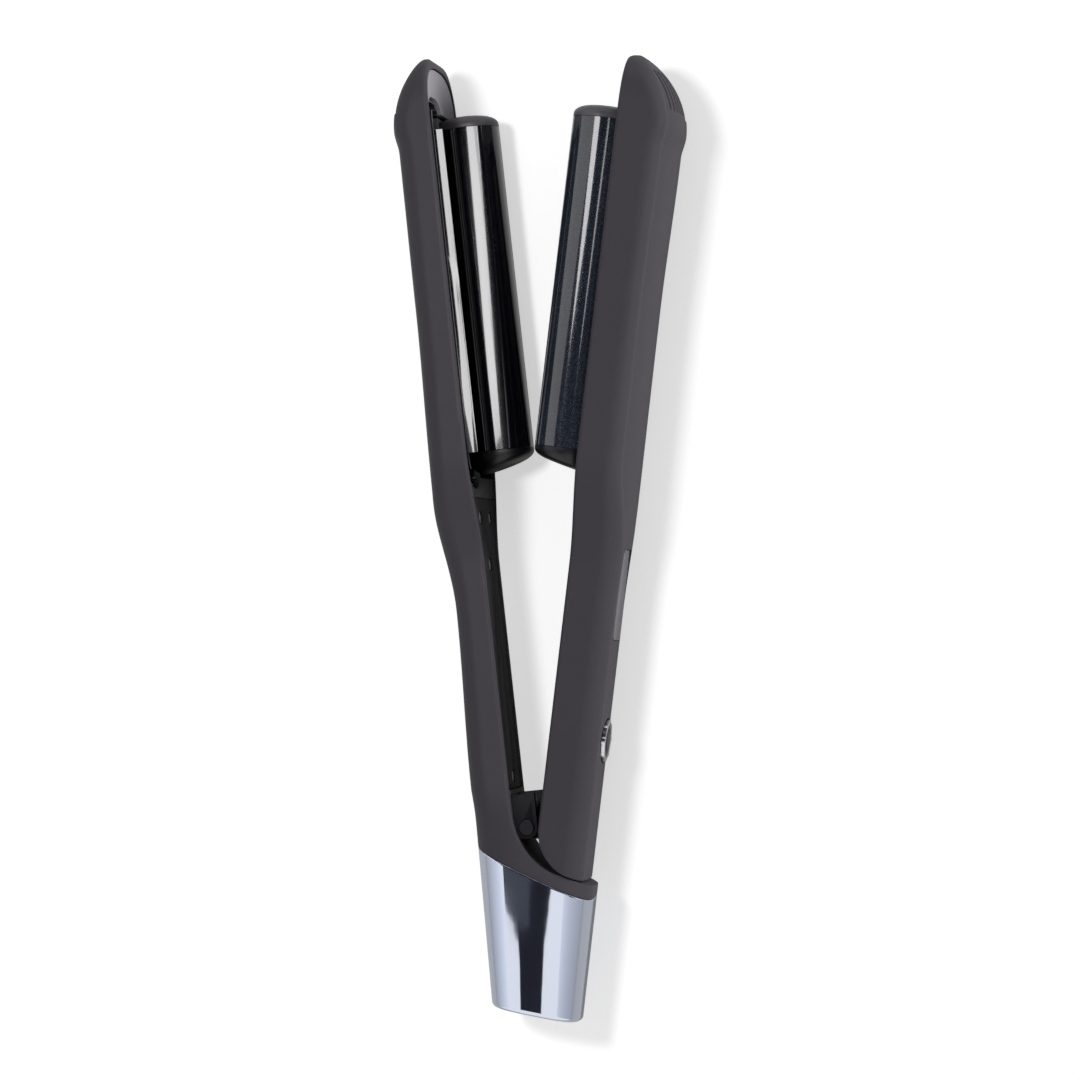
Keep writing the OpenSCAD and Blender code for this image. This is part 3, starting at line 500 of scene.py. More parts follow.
def heel_rings():
    """Rings that fan out from across the arm, down the sweep, to the seam with the cap."""
    c, s = math.cos(OPEN_HALF), math.sin(OPEN_HALF)
    top = on_arm("left", [(RIM_X, HEEL_Y, 0)])[0][:2]
    touch = HEEL_C + HEEL_R * np.array((-c, -s))
    sweep = [HEEL_C + HEEL_R * np.array((math.cos(q), math.sin(q)))
             for q in np.linspace(math.pi + OPEN_HALF, SWEEP_END, 18)]
    end_x = sum(tail_sizes(0.043)[:2])
    slope = np.array((1, -math.tan(HEEL_SLOPE))) * (end_x - sweep[-1][0])
    shares = (0.15, 0.3, 0.45, 0.6, 0.72, 0.82, 0.9, 0.95, 0.98, 0.994)
    roots = [top + (touch - top) * t for t in (0.35, 0.7)] + sweep
    roots += [sweep[-1] + slope * t for t in shares]
    steps = np.linalg.norm(np.diff(np.array([top] + roots), axis=0), axis=1)
    share = np.cumsum(steps) / steps.sum()
    back_top = on_arm("left", [(RIM_X + ARMS["left"]["thick"][0], HEEL_Y, 0)])[0][:2]
    seam_x = -0.0203
    back_end = np.array((seam_x, SEAM_Y - seam_x * math.tan(SEAM_SLOPE) + 0.0005))
    rings = []
    for root, t in zip(roots, share):
        back = back_top + (back_end - back_top) * (1 - (1 - t) ** 1.6)
        rings.append(heel_ring(root, (back - root) / np.linalg.norm(back - root)))
    # The last ones lean over into the plane of the seam
    last_slope = math.atan((back[1] - root[1]) / (root[0] - back[0]))
    last_y = root[1] + root[0] * math.tan(last_slope)
    angles = even_angles(RING_POINTS)
    for t in (0.3, 0.6, 0.85):
        slope = last_slope + (SEAM_SLOPE - last_slope) * t
        rings.append(tail_ring(last_y + (SEAM_Y - last_y) * t, slope, SEAM_LEAN * t, 0, angles))
    # Then the seam's broken edge and the plug that the cap slips over
    inset = CAP_WALL + PLUG_GAP
    for over, inside in ((0.00008, 0.00008), (0.00022, 0.00022), (0, SEAM_EDGE),
                         (0, inset), (-PLUG_LEN, inset)):
        rings.append(tail_ring(SEAM_Y + over, SEAM_SLOPE, SEAM_LEAN, inside, angles))
    return rings


shells = {
    "left": skin("left_shell", [on_arm("left", arm_ring("left", y))
                                for y in body_stations()[::-1]] + heel_rings()),
    "right": folded("right_shell", foot_rings()
                    + [on_arm("right", arm_ring("right", y)) for y in body_stations()]),
}

# Finger grooves run lengthwise over the crown of each nose and end together at its lip
GROOVES = 10
GROOVE_PITCH = 0.0036
GROOVE_R = 0.001
GROOVE_RISE = 0.45
GROOVE_STEP = 0.0006


class Wire:
    """A socket of a node tree, so that values over a surface are written as sums."""

    def __init__(self, tree, socket):
        self.tree, self.socket = tree, socket

    def maths(self, operation, *values):
        node = self.tree.nodes.new("ShaderNodeMath")
        node.operation = operation
        for number, value in enumerate(values):
            if isinstance(value, Wire):
                self.tree.links.new(value.socket, node.inputs[number])
            else:
                node.inputs[number].default_value = value
        return Wire(self.tree, node.outputs[0])

    def __add__(self, other):
        return self.maths("ADD", self, other)

    def __mul__(self, other):
        return self.maths("MULTIPLY", self, other)

    __radd__, __rmul__ = __add__, __mul__

    def over(self, edge):
        return self.maths("GREATER_THAN", self, edge)

    def most(self, other):
        return self.maths("MAXIMUM", self, other)


class Nodes:
    """A node tree, with one method for every kind of node."""

    def __init__(self, tree):
        self.tree = tree

    def node(self, kind, settings=None, inputs=None, output=0):
        node = self.tree.nodes.new(kind)
        for key, value in (settings or {}).items():
            setattr(node, key, value)
        for key, value in (inputs or {}).items():
            self.feed(node.inputs[key], value)
        return Wire(self.tree, node.outputs[output])

    def feed(self, socket, value):
        if isinstance(value, Wire):
            self.tree.links.new(value.socket, socket)
        elif socket.type == "RGBA":
            socket.default_value = (*value, 1.0)
        else:
            socket.default_value = value


class Finish(Nodes):
    """A material on one Principled surface, and the nodes that vary it."""

    def __init__(self, name, **surface):
        self.material = bpy.data.materials.new(name)
        self.material.use_nodes = True
        super().__init__(self.material.node_tree)
        self.surface = self.tree.nodes["Principled BSDF"]
        for socket, value in surface.items():
            self.set(socket.replace("_", " ").title(), value)

    def set(self, socket, value):
        self.feed(self.surface.inputs[socket], value)

    def place(self, axis=None):
        """Where on the piece a point lies, or how far along one axis."""
        place = self.node("ShaderNodeTexCoord", output="Object")
        if axis is None:
            return place
        return self.node("ShaderNodeSeparateXYZ", None, {"Vector": place}, output=axis)

    def noise(self, scale, detail=3.0, stretch=(1.0, 1.0, 1.0)):
        place = self.node("ShaderNodeMapping", None, {"Vector": self.place(), "Scale": stretch})
        return self.node("ShaderNodeTexNoise", None,
                         {"Vector": place, "Scale": scale, "Detail": detail})

    def tint(self, factor, dark, light):
        return self.node("ShaderNodeMix", {"data_type": "RGBA"},
                         {0: factor, 6: dark, 7: light}, output=2)

    def relief(self, height, strength, distance):
        bump = {"Height": height, "Strength": strength, "Distance": distance}
        self.set("Normal", self.node("ShaderNodeBump", None, bump))


class Growth(Nodes):
    """A Geometry Nodes tree that works on a given mesh, with named inputs for its sizes."""

    KINDS = {float: "Float", int: "Int", bpy.types.Object: "Object"}

    def __init__(self, name, **sizes):
        group = bpy.data.node_groups.new(name, "GeometryNodeTree")
        super().__init__(group)
        group.interface.new_socket("Geometry", in_out="OUTPUT", socket_type="NodeSocketGeometry")
        group.interface.new_socket("Geometry", in_out="INPUT", socket_type="NodeSocketGeometry")
        self.values = {}
        for size, value in sizes.items():
            kind = "NodeSocket" + self.KINDS[type(value)]
            socket = group.interface.new_socket(size, in_out="INPUT", socket_type=kind)
            self.values[socket.identifier] = value
        self.inputs = group.nodes.new("NodeGroupInput")

    def size(self, name):
        return Wire(self.tree, self.inputs.outputs[name])

    def tube(self, path, radius, corners):
        """A round rod along a path."""
        ring = self.node("GeometryNodeCurvePrimitiveCircle", None,
                         {"Resolution": corners, "Radius": radius})
        return self.node("GeometryNodeCurveToMesh", None, {0: path, 1: ring, "Fill Caps": True})

    def copies(self, spots, piece, **turn):
        """A copy of a piece on every spot."""
        one = self.node("GeometryNodeObjectInfo", None, {"Object": self.size(piece)},
                        output="Geometry")
        return self.node("GeometryNodeInstanceOnPoints", None,
                         {"Points": spots, "Instance": one, **turn})

    def grow(self, geometry, finish, points, edges=()):
        """Ends the tree, runs it on the given points and returns the plain result."""
        made = self.node("GeometryNodeRealizeInstances", None, {0: geometry})
        made = self.node("GeometryNodeSetMaterial", None, {0: made, "Material": finish.material})
        self.tree.links.new(made.socket, self.tree.nodes.new("NodeGroupOutput").inputs[0])
        mesh = bpy.data.meshes.new(self.tree.name)
        mesh.from_pydata(points, edges, [])
        obj = bpy.data.objects.new(self.tree.name, mesh)
        bpy.context.collection.objects.link(obj)
        grower = obj.modifiers.new("grow", "NODES")
        grower.node_group = self.tree
        for identifier, value in self.values.items():
            grower[identifier] = value
        return settle(obj)


def soft_touch(name, dark, light):
    finish = Finish(name)
    finish.set("Specular IOR Level", 0.3)
    cloud = finish.noise(26.0, 4.0)
    grain = finish.noise(4200.0, 2.0)
    finish.set("Base Color", finish.tint(cloud * 0.6 + grain * 0.4, dark, light))
    finish.set("Roughness", 0.42 + cloud * 0.10 + grain * 0.10)
    finish.relief(grain, 0.2, 0.00006)
    return finish


shell_coat = soft_touch("soft_touch_grey", (0.031, 0.028, 0.034), (0.042, 0.038, 0.046))


def finger_grooves(side):
    """Rods along the grooves, to be cut out of a shell."""
    points, edges = [], []
    for k in range(GROOVES):
        z = (k - (GROOVES - 1) / 2) * GROOVE_PITCH
        for y in np.arange(GRIP_START + GROOVE_R, ARM_LEN - NOSE_ROUND / 4, GROOVE_STEP):
            x = RIM_X + thickness(side, y) - z * z / (2 * CROWN_R) + GROOVE_R * GROOVE_RISE
            if y > GRIP_START + GROOVE_R:
                edges.append((len(points) - 1, len(points)))
            points.append((x, y, z))
    tree = Growth("finger_grooves", Radius=GROOVE_R, Step=GROOVE_STEP)
    path = tree.node("GeometryNodeMeshToCurve", None, {0: tree.size("Geometry")})
    path = tree.node("GeometryNodeResampleCurve", {"mode": "LENGTH"},
                     {0: path, "Length": tree.size("Step")})
    rods = tree.tube(path, tree.size("Radius"), 20)
    return lay(tree.grow(rods, shell_coat, points, edges), side)


# Openings: the inner covers' recess, the hinge's pocket, the troughs' beds and the controls.
# A cutter passes the face it cuts by OVERCUT, and what drops into an opening has FIT_GAP round it.
OVERCUT = 0.00005
FIT_GAP = 0.0002
COVER_START = 0.013
KNUCKLE_R = 0.0036
CHEEK_OUT = 0.012
CHEEK_TOP = 0.0112
BRACKET_DEPTH = 0.009
POCKET_GAP = 0.0001
POCKET_LOW_X = -0.02
ABOVE_BACK_X = 0.04
BARREL_R = 0.01075
BARREL_AXIS = (-0.0013, HEAD_HALF - BARREL_R - 0.00305)
TROUGH_AXIS = (-BARREL_AXIS[0], -BARREL_AXIS[1])
ROOT_CAP_LEN = 0.0085
TROUGH_R = BARREL_R + 0.0008
TROUGH_WALL = 0.001
TROUGH_ROUND = 0.0076
TROUGH_START = BARREL_Y - ROOT_CAP_LEN - 0.0034 + TROUGH_R
TROUGH_END = BARREL_END + TIP_CAP_LEN + 0.0033 - TROUGH_ROUND


def bed_profile(r):
    """Half outline of a trough: a ball at the handle end, a flatter round end at the nose."""
    corner = TROUGH_ROUND + r - TROUGH_R
    ball = [(r * math.cos(q), TROUGH_START + r * math.sin(q))
            for q in np.radians(np.arange(-90, 1, 3))]
    nose = [(r - corner + corner * math.cos(q), TROUGH_END + corner * math.sin(q))
            for q in np.radians(np.arange(0, 91, 3))]
    return [(max(x, 0), y) for x, y in ball + nose] + [(0, TROUGH_END + corner)]


def window_edge(gap):
    """Outline of the display window in rows (y, z), a slot with round corners."""
    corner = WINDOW_CORNER
    rows = []
    for turn, (y, z) in enumerate(((1, 1), (0, 1), (0, 0), (1, 0))):
        cy = WINDOW_Y + (WINDOW_LEN - corner + gap if y else corner - gap)
        cz = (WINDOW_W / 2 - corner + gap) * (1 if z else -1)
        for q in np.radians(np.arange(0, 91, 7.5) + 90 * turn):
            rows.append((cy + corner * math.cos(q), cz + corner * math.sin(q)))
    return rows


WINDOW_Y = 0.0645
WINDOW_LEN = 0.030
WINDOW_W = 0.015
WINDOW_CORNER = 0.0025
DIAL_Y = 0.031
DIAL_R = 0.007
DIAL_GAP = 0.0006
BOARD_X = 0.011
BOARD_T = 0.0016
BACK_X = RIM_X + ARMS["right"]["thick"][1]


def dial_axis(a, b, x):
    """A place about the dial's axis, at a height over the closing plane."""
    return x, DIAL_Y + a, b


for side, shell in shells.items():
    recess = cover_edge(COVER_START - FIT_GAP, ARM_LEN, WALL)
    bed = bed_profile(TROUGH_R + TROUGH_WALL + 0.00008)
    pocket = [size + POCKET_GAP for size in (BRACKET_DEPTH, CHEEK_TOP, CHEEK_OUT)]
    carve(shell, lay(hollow(side), side),
          lay(slab("recess", recess, -0.001, CAVITY_X + OVERCUT), side),
          lay(lathe("bed", bed, TROUGH_AXIS), side),
          lay(block("pocket", (POCKET_LOW_X, -KNUCKLE_R - POCKET_GAP, -pocket[2]), pocket), side),
          finger_grooves(side))
window_hole = slab("window_hole", window_edge(FIT_GAP), BOARD_X + BOARD_T + 0.002, ABOVE_BACK_X)
dial_hole = plug("dial_hole", DIAL_R + DIAL_GAP, (BOARD_X, ABOVE_BACK_X), dial_axis, 96)
carve(shells["right"], lay(window_hole, "right"), lay(dial_hole, "right"))
for side, shell in shells.items():
    soften(shell, 30)
    shell.data.materials.clear()
    shell.data.materials.append(shell_coat.material)
    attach(shell, side + "_arm")
    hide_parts(side + "_housing")


# ---------------------------------------------------------------- inner covers
# A flat moulded cover closes the handle part of each arm on its inner side. It drops into a
# recess below the rim and is held by small slotted screws.

COVER_SPLIT = 0.1098
COVER_INSET = WALL + FIT_GAP
SCREW_R = 0.0011
SCREW_HEAD_R = 0.0022
SCREW_SINK = 0.0009
SCREW_END = 0.0062
SLOT_HALF = 0.00025
END_SCREWS = [(COVER_START + 0.004, 0), (COVER_SPLIT - 0.0065, 0.0085),
              (COVER_SPLIT - 0.0065, -0.0085)]
SCREWS = {"left": END_SCREWS + [(COVER_SPLIT - 0.022, 0)], "right": END_SCREWS}


def mould(name, dark, light, gloss=0.38, shine=0.2, painted_light_span=None):
    """Moulded nylon with a fine spark-eroded grain; over a given span of y it is painted from dark
    to pale, as painted light and shade.
    """
    finish = Finish(name)
    finish.set("Specular IOR Level", shine)
    grain = finish.noise(3000.0, 3.0)
    wear = finish.noise(40.0, 3.0)
    share = wear * 0.5 + grain * 0.5
    # Painted light and shade: over the span of y the colour runs from the dark tone to the light
    # one, in place of the grain's tone.
    if painted_light_span:
        share = finish.node("ShaderNodeMapRange", None,
                            {"Value": finish.place("Y"), "From Min": painted_light_span[0], "From Max": painted_light_span[1]},
                            output="Result")
    finish.set("Base Color", finish.tint(share, dark, light))
    finish.set("Roughness", gloss + wear * 0.12 + grain * 0.08)
    finish.relief(grain, 0.25, 0.00005)
    return finish


def plated(name, colour, rough, stretch=(1.0, 1.0, 1.0), marks=0.08):
    """A metal surface with fine marks along one direction."""
    finish = Finish(name, metallic=1.0)
    lines = finish.noise(900.0, 4.0, stretch)
    film = finish.noise(60.0, 3.0)
    finish.set("Base Color", finish.tint(film, tuple(c * 0.94 for c in colour), colour))
    finish.set("Roughness", rough + lines * marks)
    return finish


def dress(finish, *nodes):
    """Gives CAD nodes that stay as they are their material."""
    for node in nodes:
        for place in frame["nodes"][node].material_slots:
            place.material = finish.material


def fit(obj, body, node, finish=None, angle=32):
    """Shades a finished piece and hands it over in place of its CAD node."""
    soften(obj, angle)
    obj.name = obj.data.name = node + "_piece"
    if finish is not None:
        obj.data.materials.clear()
        obj.data.materials.append(finish.material)
    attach(obj, body)
    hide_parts(node)
    return obj


def fit_arm(obj, side, name, finish=None):
    """Fits a piece drawn from the hinge pin on its arm, in place of that arm's CAD node."""
    return fit(lay(obj, side), side + "_arm", side + "_" + name, finish)


cover_nylon = mould("cover_nylon", (0.014, 0.012, 0.015), (0.022, 0.019, 0.023), 0.42, 0.07)
screw_steel = plated("screw_steel", (0.52, 0.52, 0.54), 0.24)
for side in ARMS:
    cover = slab("cover", cover_edge(COVER_START, COVER_SPLIT, COVER_INSET), COVER_X, CAVITY_X)
    for y, z in SCREWS[side]:
        def screw_axis(a, b, x):
            return x, y + a, z + b

        carve(cover, plug("hole", SCREW_R + FIT_GAP, (0, 0.01), screw_axis),
              plug("sink", SCREW_HEAD_R + FIT_GAP, (0, COVER_X + SCREW_SINK), screw_axis))
    fit_arm(bevel(cover, 0.0002), side, "handle_cover", cover_nylon)

    rim = SCREW_HEAD_R
    outline = [(0, 0.0003), (rim - 0.00025, 0.0003), (rim - 0.00008, 0.00036), (rim, 0.0005),
               (rim, SCREW_SINK), (SCREW_R, SCREW_SINK), (SCREW_R, SCREW_END - 0.0007),
               (SCREW_R * 0.5, SCREW_END), (0, SCREW_END)]
    screw = turned("screw", outline, lambda a, b, h: (COVER_X + h, a, b), 40)
    carve(screw, block("slot", (0, -rim - 0.001, -SLOT_HALF),
                       (COVER_X + 0.0006, rim + 0.001, SLOT_HALF)))
    tree = Growth("cover_screws", Screw=screw)
    spots = tree.node("GeometryNodeMeshToPoints", None, {0: tree.size("Geometry")})
    screws = tree.grow(tree.copies(spots, "Screw"), screw_steel,
                       [(0, y, z) for y, z in SCREWS[side]])
    bpy.data.objects.remove(screw)
    fit_arm(screws, side, "cover_screws")


# ---------------------------------------------------------------- head frames and troughs
# A satin frame closes the head round two openings. The barrel stands in one of them, and the
# other holds a glossy half-round trough in which the opposite barrel presses the hair.

# Painted shade: the frame is painted near black up to y 0.24 and pale grey past y 0.30, near the
# nose.
frame_nylon = mould("frame_nylon", (0.009, 0.008, 0.010), (0.230, 0.219, 0.238), 0.32,
                    painted_light_span=(0.24, 0.30))


def glazed(name, dark, light, fleck, flecks):
    """Glossy ceramic coat over metal, with fine bright flecks of mineral in it."""
    finish = Finish(name)
    finish.set("Specular IOR Level", 0.5)
    finish.set("Coat Roughness", 0.03)
    finish.set("Coat Weight", 1.0)
    cells = finish.node("ShaderNodeTexVoronoi", None, {"Vector": finish.place(), "Scale": 3400.0},
                        output="Color")
    spark = finish.node("ShaderNodeSeparateColor", None, {"Color": cells})
    drift = finish.noise(26.0, 4.0)
    shown = spark.over(1 - flecks) * (drift * drift * 1.8)
    finish.set("Base Color", finish.tint(shown, finish.tint(drift, dark, light), fleck))
    finish.set("Roughness", 0.10 + drift * 0.05)
    finish.relief(finish.noise(90.0, 2.0), 0.05, 0.0003)
    return finish


LOW_LIP_X = 0.0080
FRONT_LIP_X = 0.0036
END_SINK = 0.001
BED_GAP = 0.0003
BAR_CUT = 0.002

# Corners past the head on every side, for the blocks that cut the troughs
HEAD_FROM, HEAD_TO, FAR_Z, NEAR_Z = 0.09, 0.28, -0.05, 0.03

trough_glaze = glazed("trough_glaze", (0.004, 0.004, 0.006), (0.007, 0.007, 0.010),
                      (0.03, 0.03, 0.04), 0.02)
first, last = BARREL_Y - ROOT_CAP_LEN, BARREL_END + TIP_CAP_LEN
for side in ARMS:
    head = slab("head", cover_edge(COVER_SPLIT + FIT_GAP, ARM_LEN, COVER_INSET), COVER_X, CAVITY_X)
    carve(head, lathe("bed", bed_profile(TROUGH_R + TROUGH_WALL + BED_GAP), TROUGH_AXIS),
          block("slot", (0, first - BED_GAP, BARREL_AXIS[1] - BARREL_R - BED_GAP - BAR_CUT),
                (0.01, last + BED_GAP, BARREL_AXIS[1] + BARREL_R + BED_GAP)))
    fit_arm(bevel(head, 0.00025), side, "head_frame", frame_nylon)

    trough = lathe("trough", bed_profile(TROUGH_R + TROUGH_WALL), TROUGH_AXIS)
    carve(trough, lathe("inside", bed_profile(TROUGH_R), TROUGH_AXIS))
    carve(trough, block("keep", (FRONT_LIP_X, HEAD_FROM, FAR_Z), (0.03, HEAD_TO, NEAR_Z)),
          mode="INTERSECT")
    # The lip stands up only along the outer side; beside the barrel's caps it is cut down
    sunk = COVER_X + END_SINK
    carve(trough, block("level", (0, HEAD_FROM, TROUGH_AXIS[1]), (COVER_X, HEAD_TO, NEAR_Z)),
          block("level", (0, HEAD_FROM, FAR_Z), (sunk, first + 0.002, NEAR_Z)),
          block("level", (0, last - 0.001, FAR_Z), (sunk, HEAD_TO, NEAR_Z)),
          block("low_lip", (0, first, -0.006), (LOW_LIP_X, BARREL_Y, 0.004)),
          block("low_lip", (0, BARREL_END, -0.006), (LOW_LIP_X, last, 0.004)))
    fit_arm(bevel(trough, 0.0002), side, "trough", trough_glaze)


# ---------------------------------------------------------------- barrels
# Each barrel is a drawn aluminium tube with a glossy ceramic coat: black on the left arm, a
# blue grey with visible sparkle on the right one, where the blue grey is painted reflection of
# the bright surroundings seen at a grazing angle. Satin caps plug both ends and hook the barrel
# to the head.

BARREL_WALL = 0.0012
SPIGOT_R = BARREL_R - BARREL_WALL - 0.0001
SPIGOT_LEN = 0.005
ROOT_MIDDLE = 0.0058
ROOT_SLOPE = 0.25
CAP_EDGE = 0.00015
TUBE_EDGE = 0.0001

# The right glaze's blue grey is painted reflection of the bright surroundings; its flecks are the
# coat's sparkle.
barrel_glaze = {
    "left": glazed("black_glaze", (0.002, 0.002, 0.004), (0.004, 0.004, 0.007),
                   (0.03, 0.03, 0.045), 0.04),
    "right": glazed("blue_glaze", (0.008, 0.011, 0.019), (0.019, 0.024, 0.035),
                    (0.050, 0.061, 0.082), 0.36),
}
# Painted highlight: the caps are painted paler from y 0.20 to 0.28, so the tip caps stand pale and
# the root caps dark.
cap_nylon = mould("cap_nylon", (0.006, 0.005, 0.007), (0.080, 0.074, 0.086), 0.24, 0.45,
                  painted_light_span=(0.20, 0.28))


def cap(name, base_y, sign, depth, straight, crown):
    """A barrel's cap with a crowned end, whose depth may differ round the barrel."""
    rings = []
    for r, y in ((0.0, -SPIGOT_LEN), (SPIGOT_R, -SPIGOT_LEN), (SPIGOT_R, 0),
                 (BARREL_R - CAP_EDGE, 0), (BARREL_R, CAP_EDGE)):
        rings.append([(r * math.cos(q), y, r * math.sin(q)) for q in circle(192)])
    for share in list(np.sin(np.radians(np.arange(90, 4, -4)))) + [0.0]:
        ring = []
        for q in circle(192):
            reach = depth(math.cos(q) * share * BARREL_R)
            y = straight + (reach - straight) * (1 - share ** crown[0]) ** (1 / crown[1])
            beyond = max(y - BARREL_Y + TROUGH_START, 0) if sign < 0 else 0
            r = min(share * BARREL_R, math.sqrt(max((BARREL_R + 0.0001) ** 2 - beyond ** 2, 0)))
            ring.append((r * math.cos(q), y, r * math.sin(q)))
        rings.append(ring)
    rings = np.array(rings) * (1, sign, 1) + (BARREL_AXIS[0], base_y, BARREL_AXIS[1])
    return skin(name, rings if sign < 0 else rings[:, ::-1])


for side in ARMS:
    inside, edge = BARREL_R - BARREL_WALL, BARREL_R - TUBE_EDGE
    tube = [(inside, BARREL_Y), (edge, BARREL_Y), (BARREL_R, BARREL_Y + TUBE_EDGE),
            (BARREL_R, BARREL_END - TUBE_EDGE), (edge, BARREL_END), (inside, BARREL_END)]
    fit_arm(lathe("barrel", tube, BARREL_AXIS), side, "barrel",
            barrel_glaze[side])

    tip = cap("tip", BARREL_END, 1, lambda x: TIP_CAP_LEN, 0.0009, (3.2, 2.2))
    foot_x, foot_half = CAVITY_X + 0.00002, BARREL_R - 0.0004
    carve(tip, block("foot", (foot_x, BARREL_END + 0.0002, BARREL_AXIS[1] - foot_half),
                     (foot_x + 0.0024, last - 0.0002, BARREL_AXIS[1] + foot_half)), mode="UNION")
    fit_arm(tip, side, "tip_cap", cap_nylon)

    # The root end slopes off towards the arm, inside the ball of the trough
    root = cap("root", BARREL_Y, -1, lambda x: ROOT_MIDDLE + ROOT_SLOPE * x, 0.0006, (6.0, 2.2))
    fit_arm(root, side, "root_cap", cap_nylon)


# ---------------------------------------------------------------- heaters
# Inside each barrel an extruded aluminium spreader clamps a flat ceramic heater. A bead
# thermistor and a thermal fuse sit in bores of the spreader.

spreader_alloy = plated("spreader_alloy", (0.72, 0.72, 0.74), 0.3, (1.0, 0.02, 1.0), 0.2)
fuse_steel = plated("fuse_steel", (0.6, 0.6, 0.62), 0.28)
fired = Finish("fired_ceramic")
fired.set("Base Color", fired.tint(fired.noise(300.0), (0.68, 0.65, 0.60), (0.80, 0.78, 0.73)))
fired.set("Roughness", 0.5 + fired.noise(700.0) * 0.2)
for side in ARMS:
    dress(spreader_alloy, side + "_heat_spreader")
    dress(fuse_steel, side + "_thermal_fuse")
    dress(fired, side + "_ceramic_heater", side + "_thermistor")


# ---------------------------------------------------------------- hinge
# Glass-filled nylon brackets turn on one steel pin: two cheeks on the left arm outside two
# knuckles on the right one. A clip keeps the pin, and a coil spring between the knuckles
# pushes the arms open.

PIN_R = 0.0015
CHEEK_T = 0.0054
WEB_TOP = 0.007
KNUCKLE_OUT = CHEEK_OUT - CHEEK_T - 0.00035
SPRING_BAY = 0.003
WIRE_R = 0.00045
WEB_X = 0.005
PIN_HEAD_R = 0.0026

# Painted shade: the brackets are painted almost black, for the shade the hinge lies in between the
# arms.
bracket_nylon = mould("bracket_nylon", (0.003, 0.003, 0.004), (0.006, 0.005, 0.007), 0.3, 0.12)


def lug(name, z0, z1, top, back):
    """A cheek or knuckle: a round end on the pin with a square root behind it."""
    turn = np.radians(np.arange(-90, -271, -6) if back else np.arange(-90, -181, -6))
    rows = [(KNUCKLE_R * math.cos(q), KNUCKLE_R * math.sin(q)) for q in turn]
    if back:
        rows = [(x, y) for x, y in rows if y <= 0 or not top > KNUCKLE_R]
    rows += [(0, KNUCKLE_R), (0, top)] if back else [(-KNUCKLE_R, top)]
    rows += [(BRACKET_DEPTH, top), (BRACKET_DEPTH, -KNUCKLE_R)]
    return skin(name, [np.array([(x, y, z) for x, y in rows]) for z in (z0, z1)])


def pin_bore(gap):
    """A rod for the pin's hole in a bracket drawn from the hinge pin."""
    return plug("bore", PIN_R + gap, (-0.02, 0.02), lambda a, b, z: (a, b, z))


cheeks = lug("cheeks", -CHEEK_OUT, CHEEK_T - CHEEK_OUT, CHEEK_TOP, False)
carve(cheeks, lug("cheek", CHEEK_OUT - CHEEK_T, CHEEK_OUT, CHEEK_TOP, False),
      block("web", (WEB_X, -KNUCKLE_R, -CHEEK_OUT), (BRACKET_DEPTH, CHEEK_TOP, CHEEK_OUT)),
      mode="UNION")
carve(cheeks, pin_bore(0.00002))
fit_arm(bevel(cheeks, 0.0003), "left", "hinge_bracket", bracket_nylon)

knuckles = lug("knuckles", -KNUCKLE_OUT, -SPRING_BAY, KNUCKLE_R, True)
carve(knuckles, lug("knuckle", SPRING_BAY, KNUCKLE_OUT, KNUCKLE_R, True),
      block("web", (WEB_X, -KNUCKLE_R, -KNUCKLE_OUT), (BRACKET_DEPTH, WEB_TOP, KNUCKLE_OUT)),
      block("root", (0, 0, SPRING_BAY), (BRACKET_DEPTH, WEB_TOP, KNUCKLE_OUT)),
      block("root", (0, 0, -KNUCKLE_OUT), (BRACKET_DEPTH, WEB_TOP, -SPRING_BAY)), mode="UNION")
carve(knuckles, pin_bore(0.00004))
fit_arm(bevel(knuckles, 0.00025), "right", "hinge_bracket", bracket_nylon)


def hinge_axis(a, b, z):
    """A place about the hinge pin, where the pin lies."""
    return PIN.x + a, PIN.y + b, z


PIN_END = -CHEEK_OUT - 0.0014
PIN_HEAD_T = 0.001
PIN_EDGE = 0.0003
pin_steel = plated("pin_steel", (0.07, 0.068, 0.074), 0.32)
pin = turned("pin", [(0, PIN_END), (PIN_R - PIN_EDGE, PIN_END), (PIN_R, PIN_END + PIN_EDGE),
                     (PIN_R, CHEEK_OUT), (PIN_HEAD_R, CHEEK_OUT),
                     (PIN_HEAD_R, CHEEK_OUT + PIN_HEAD_T - PIN_EDGE),
                     (PIN_HEAD_R - PIN_EDGE, CHEEK_OUT + PIN_HEAD_T), (0, CHEEK_OUT + PIN_HEAD_T)],
             hinge_axis, 64)
fit(pin, "left_arm", "hinge_pin", pin_steel)
inside, low, high = PIN_R + 0.00002, -CHEEK_OUT - 0.00075, -CHEEK_OUT - 0.00005
clip = turned("clip", [(inside, low), (PIN_HEAD_R, low), (PIN_HEAD_R, high), (inside, high)],
              hinge_axis, 64)
gap = block("gap", (PIN.x - 0.0006, PIN.y, -0.02), (PIN.x + 0.0006, PIN.y + 0.01, 0))
fit(bevel(carve(clip, gap), 0.0001), "left_arm", "pin_clip", screw_steel)

